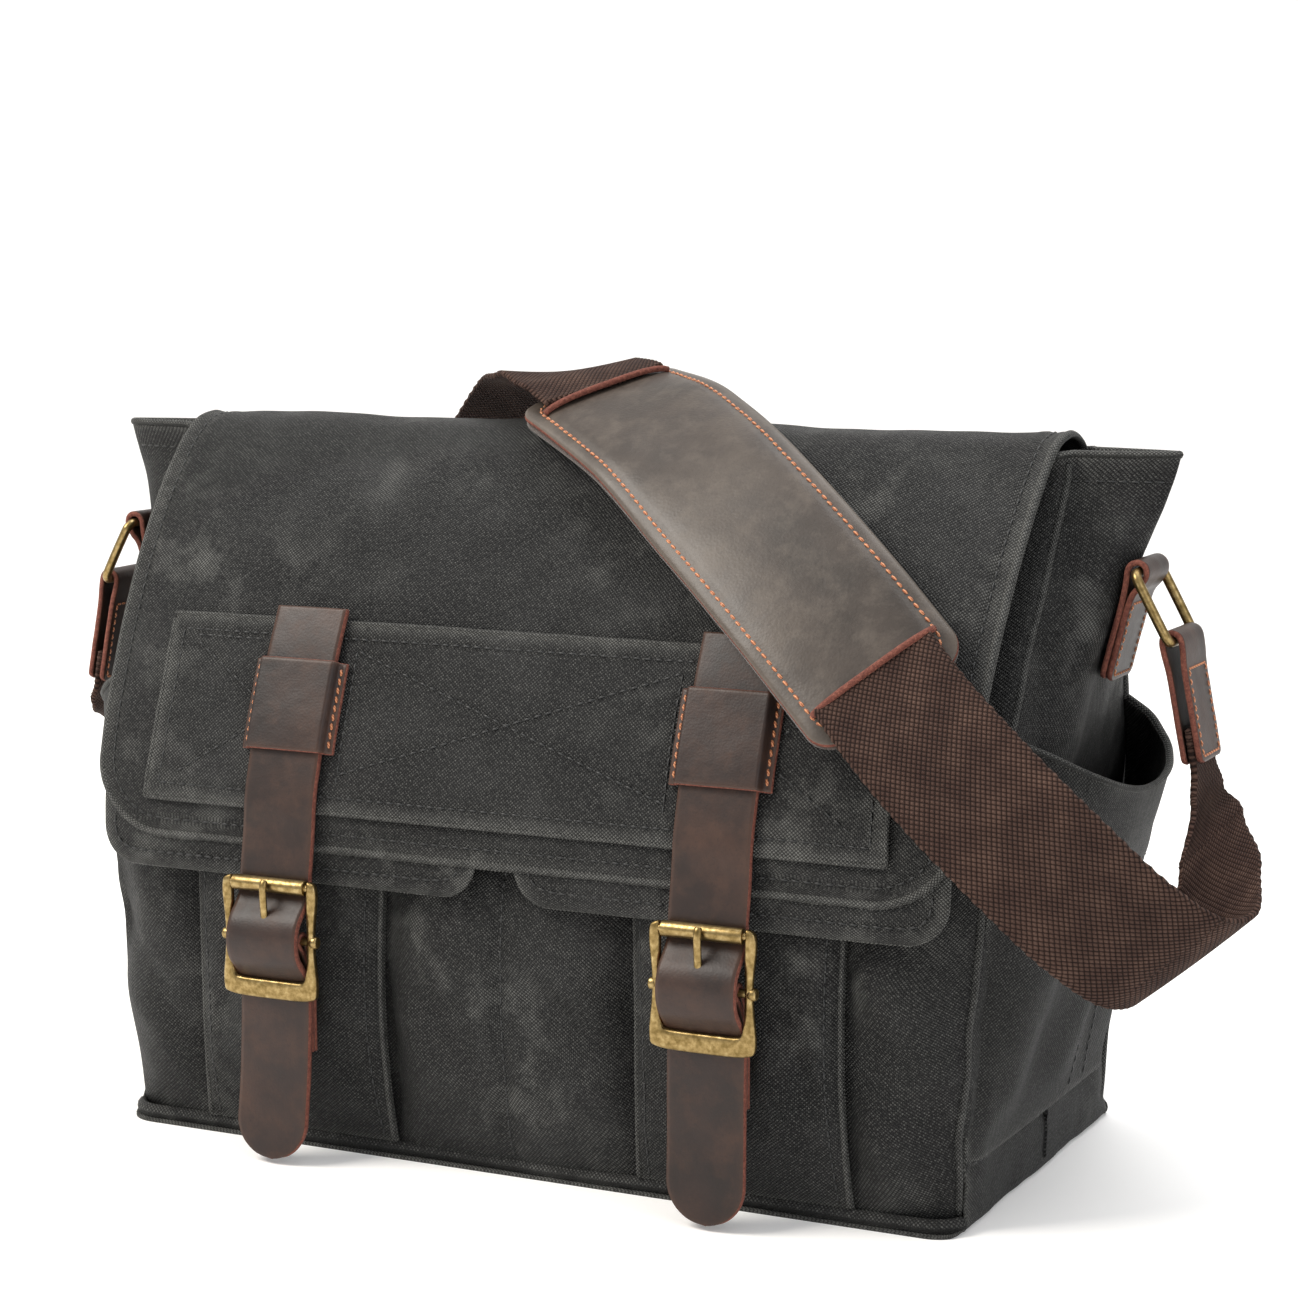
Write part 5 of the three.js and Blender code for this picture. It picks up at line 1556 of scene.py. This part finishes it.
WEB = 24.0
WEB_FRONT = [
    ((142.6, -98, 198.3), (0.62, 0.55, 0.54), WEB), ((158, -106, 184.5), (0.64, 0.53, 0.55), WEB),
    ((181, -113, 165), (0.68, 0.45, 0.57), WEB), ((208, -115, 142), (0.7, 0.42, 0.58), WEB),
    ((231, -110, 121), (0.7, 0.43, 0.57), WEB), ((246, -97, 108), (0.68, 0.45, 0.58), WEB),
    ((252, -78, 107), (0.66, 0.5, 0.56), WEB), ((250, -57, 119), (0.55, 0.65, 0.53), 23),
    ((243, -33, 137), (0.32, 0.86, 0.38), 19), ((235.6, -14, 149.5), (0.08, 0.99, 0.1), 14),
    ((232.5, -9.5, 159.5), (0, 1, 0), 12.2), ((230, -9, 172.5), (0, 1, 0), 12.2),
]
WEB_BACK = [
    ((0.4, -14.6, 287), (0.67, 0.69, 0.28), WEB), ((-16, -3, 290.5), (0.69, 0.7, 0.18), WEB),
    ((-34, 13, 288), (0.74, 0.66, -0.05), WEB), ((-58, 37, 275), (0.74, 0.58, -0.34), WEB),
    ((-92, 66, 247), (0.7, 0.5, -0.5), WEB), ((-130, 88, 215), (0.66, 0.45, -0.6), WEB),
    ((-175, 104, 174), (0.68, 0.42, -0.6), WEB), ((-214, 106, 139), (0.7, 0.42, -0.58), WEB),
    ((-239, 96, 117), (0.68, 0.45, -0.58), WEB), ((-250, 77, 109), (0.66, 0.5, -0.56), WEB),
    ((-251, 53, 117), (0.55, 0.65, -0.53), 23), ((-245, 26, 134), (0.32, 0.86, -0.38), 19),
    ((-237, -2, 149), (0.08, 0.99, -0.1), 14), ((-232.5, -8.5, 159.5), (0, 1, 0), 12.2),
    ((-230, -9, 172.5), (0, 1, 0), 12.2),
]


def webbing(name, stations, first, last, steps):
    """One split length of webbing, between two of its stations."""
    count = len(stations) - 1

    def frame_of(v):
        return ribbon_frame(stations, lerp(first / count, last / count, v))

    def face(u, v):
        at, across, out, half = frame_of(v)
        side = lerp(-1, 1, u)
        fray = 0.25 * np.sin(v * steps * 1.9) * np.abs(side) ** 8
        cup = 0.5 * side**2
        return at + across * (side * (half + fray))[..., None] + out * (1.25 - cup)[..., None]

    _, v = np.meshgrid(np.linspace(0, 1, 29), np.linspace(0, 1, steps + 1), indexing="ij")
    made, _ = sheet(name, face, (28, steps), 2.4, COTTON_WEBBING, frame_of(v)[2], rim=0.3)
    return made


print("webbing width (mm)", 2 * WEB)

# %% Webbing lengths
LENGTHS = (  # name, stations, first, last, rows, bodies, and a start and an end station
    ("front_run", WEB_FRONT, 0, 5, 90, "flap_body", "bag", 1, 4),
    ("right_turn", WEB_FRONT, 5, 8, 60, "bag", "ring_right_body", 6, 8),
    ("right_end", WEB_FRONT, 8, 11, 50, "ring_right_body", "strap_end_right_body", 8, 10),
    ("back_run", WEB_BACK, 0, 5, 110, "flap_body", "bag", 2, 4),
    ("back_fall", WEB_BACK, 5, 9, 100, "bag", None, 5, 9),
    ("left_turn", WEB_BACK, 9, 11, 50, "bag", "ring_left_body", 9, 11),
    ("left_end", WEB_BACK, 11, 14, 50, "ring_left_body", "strap_end_left_body", 11, 13),
)
for name, stations, first, last, rows, near, far, start, end in LENGTHS:
    length = webbing(f"webbing_{name}", stations, first, last, rows)
    if far:
        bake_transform(length)
    else:
        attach(length, near)
    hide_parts("webbing_front" if stations is WEB_FRONT else "webbing_back")
print("webbing pieces", len(LENGTHS))

# %% [markdown]
# The pad is a rounded rectangle of thick pull-up leather on a felt backing,
# joined by copper thread near its edge. It arches over the flap, a little fuller
# in the middle, and the webbing comes out through a slot near each end.

# %% Shoulder pad
PAD_HALF, PAD_CORNER, PAD_LENGTH = 31.0, 11.0, 213.0
PAD_STATIONS = [
    ((-11, -5, 285), (0.67, 0.69, 0.28), PAD_HALF), ((34, -35, 271.5), (0.66, 0.6, 0.42), PAD_HALF),
    ((76, -62, 247), (0.657, 0.508, 0.557), PAD_HALF), ((116, -83, 218), (0.64, 0.53, 0.55), PAD_HALF),
    ((152, -98, 187), (0.62, 0.55, 0.54), PAD_HALF),
]


def pad_point(side, t, stand, margin=0.0):
    """A place on the pad: side and t across and along it, stand above it."""
    at, across, out, half = ribbon_frame(PAD_STATIONS, t)
    out = out * np.sign(np.sum(out * np.array([0.3, -0.8, 0.5])))
    from_end = np.minimum(t, 1 - t) * PAD_LENGTH
    reach = rounded_half(half - margin, from_end - margin, PAD_CORNER - margin * 0.5)
    return at + across * (side * reach)[..., None] + out * np.broadcast_to(stand, t.shape)[..., None], out


def ends_crowded(v):
    """Rows crowd towards both ends, where the corners are round."""
    return np.where(v < 0.15, 0.08 * (1 - np.cos(v / 0.15 * math.pi / 2)), np.where(
        v > 0.85, 1 - 0.08 * (1 - np.cos((1 - v) / 0.15 * math.pi / 2)), lerp(0.08, 0.92, (v - 0.15) / 0.7)))


def pad_row(inset, count=120):
    """A closed line of (side share, t) inside the pad's edge."""
    start = inset / PAD_LENGTH
    t = lerp(start, 1 - start, ends_crowded(np.linspace(0, 1, count)))
    edge, out = pad_point(np.ones(count), t, 2.1, inset)
    other, out_other = pad_point(-np.ones(count), t, 2.1, inset)
    return np.vstack([edge, other[::-1], edge[:1]]), np.vstack([out, out_other[::-1], out[:1]])


def pad_relief(points, u, v):
    side, t = np.abs(lerp(-1, 1, u)), ends_crowded(v)
    crown = 2.6 * (1 - side**4) * smooth(np.minimum(t, 1 - t) * 14)
    line, _ = pad_row(5.0)
    gap = nearest(points, line)
    return crown + rumple(points, 91, 60, 0.3) - 0.55 * np.exp(-((gap / 1.5) ** 2)) - 0.6 * side**10


def pad_cover_face(u, v):
    return pad_point(lerp(-1, 1, u), ends_crowded(v), 1.6)[0]


def pad_felt_face(u, v):
    return pad_point(lerp(-1, 1, u), ends_crowded(v), -0.9, 0.7)[0]


u_grid, v_grid = np.meshgrid(np.linspace(0, 1, 45), np.linspace(0, 1, 141), indexing="ij")
PAD_OUT = pad_point(lerp(-1, 1, u_grid), ends_crowded(v_grid), 0)[1]
pad, PAD_RECORD = sheet(
    "shoulder_pad_leather", pad_cover_face, (44, 140), 2.2, PAD_LEATHER, PAD_OUT,
    pad_relief, wear_width=1.6, rim=0.3, slots=(RAW_EDGE,), rim_slot=1,
)
felt, _ = sheet("shoulder_pad_felt", pad_felt_face, (44, 140), 3.4, WOOL_FELT, PAD_OUT, rim=0.25)
carry("pad_body", pad, "pad_leather", "pad_cover", "webbing_middle")
carry("pad_body", felt, "pad_felt", "pad_base")
stitched, outward = pad_row(5.0, 240)
flat_points = PAD_RECORD["face"].reshape(-1, 3)
flat_normals = PAD_RECORD["normal"].reshape(-1, 3)
close = np.array([int(np.argmin(((flat_points - p) ** 2).sum(1))) for p in stitched])
stitched = stitched + flat_normals[close] * ((flat_points[close] - stitched) * flat_normals[close]).sum(1)[:, None]
rows = [(stitched, flat_normals[close])]
carry("pad_body", stitch_rows(
    "shoulder_pad_stitches", rows, COPPER_THREAD, length=2.7, pitch=3.4, thick=0.5, slant=0.12
))
for name, t, width in (("lower", 1 - 14.5 / PAD_LENGTH, 25.6), ("upper", 14.5 / PAD_LENGTH, 25.6)):
    share = np.linspace(-1, 1, 30)
    v = np.full(30, np.interp(t, ends_crowded(np.linspace(0, 1, 400)), np.linspace(0, 1, 400)))
    line, normal = on_sheet(PAD_RECORD, (share * width / PAD_HALF + 1) / 2, v, 0.9)
    raised = line + normal * (1.3 * (1 - share[:, None] ** 4))
    lip = tube(f"shoulder_pad_{name}_slot_lip", raised, 1.2, 10, RAW_EDGE, up=(0, -0.8, 0.5))
    carry("pad_body", lip, "pad_leather")
print("pad length (mm)", PAD_LENGTH)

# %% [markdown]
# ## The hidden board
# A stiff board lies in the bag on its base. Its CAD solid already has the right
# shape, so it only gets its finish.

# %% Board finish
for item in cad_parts["base_board"].material_slots:
    item.material = FIBRE_BOARD
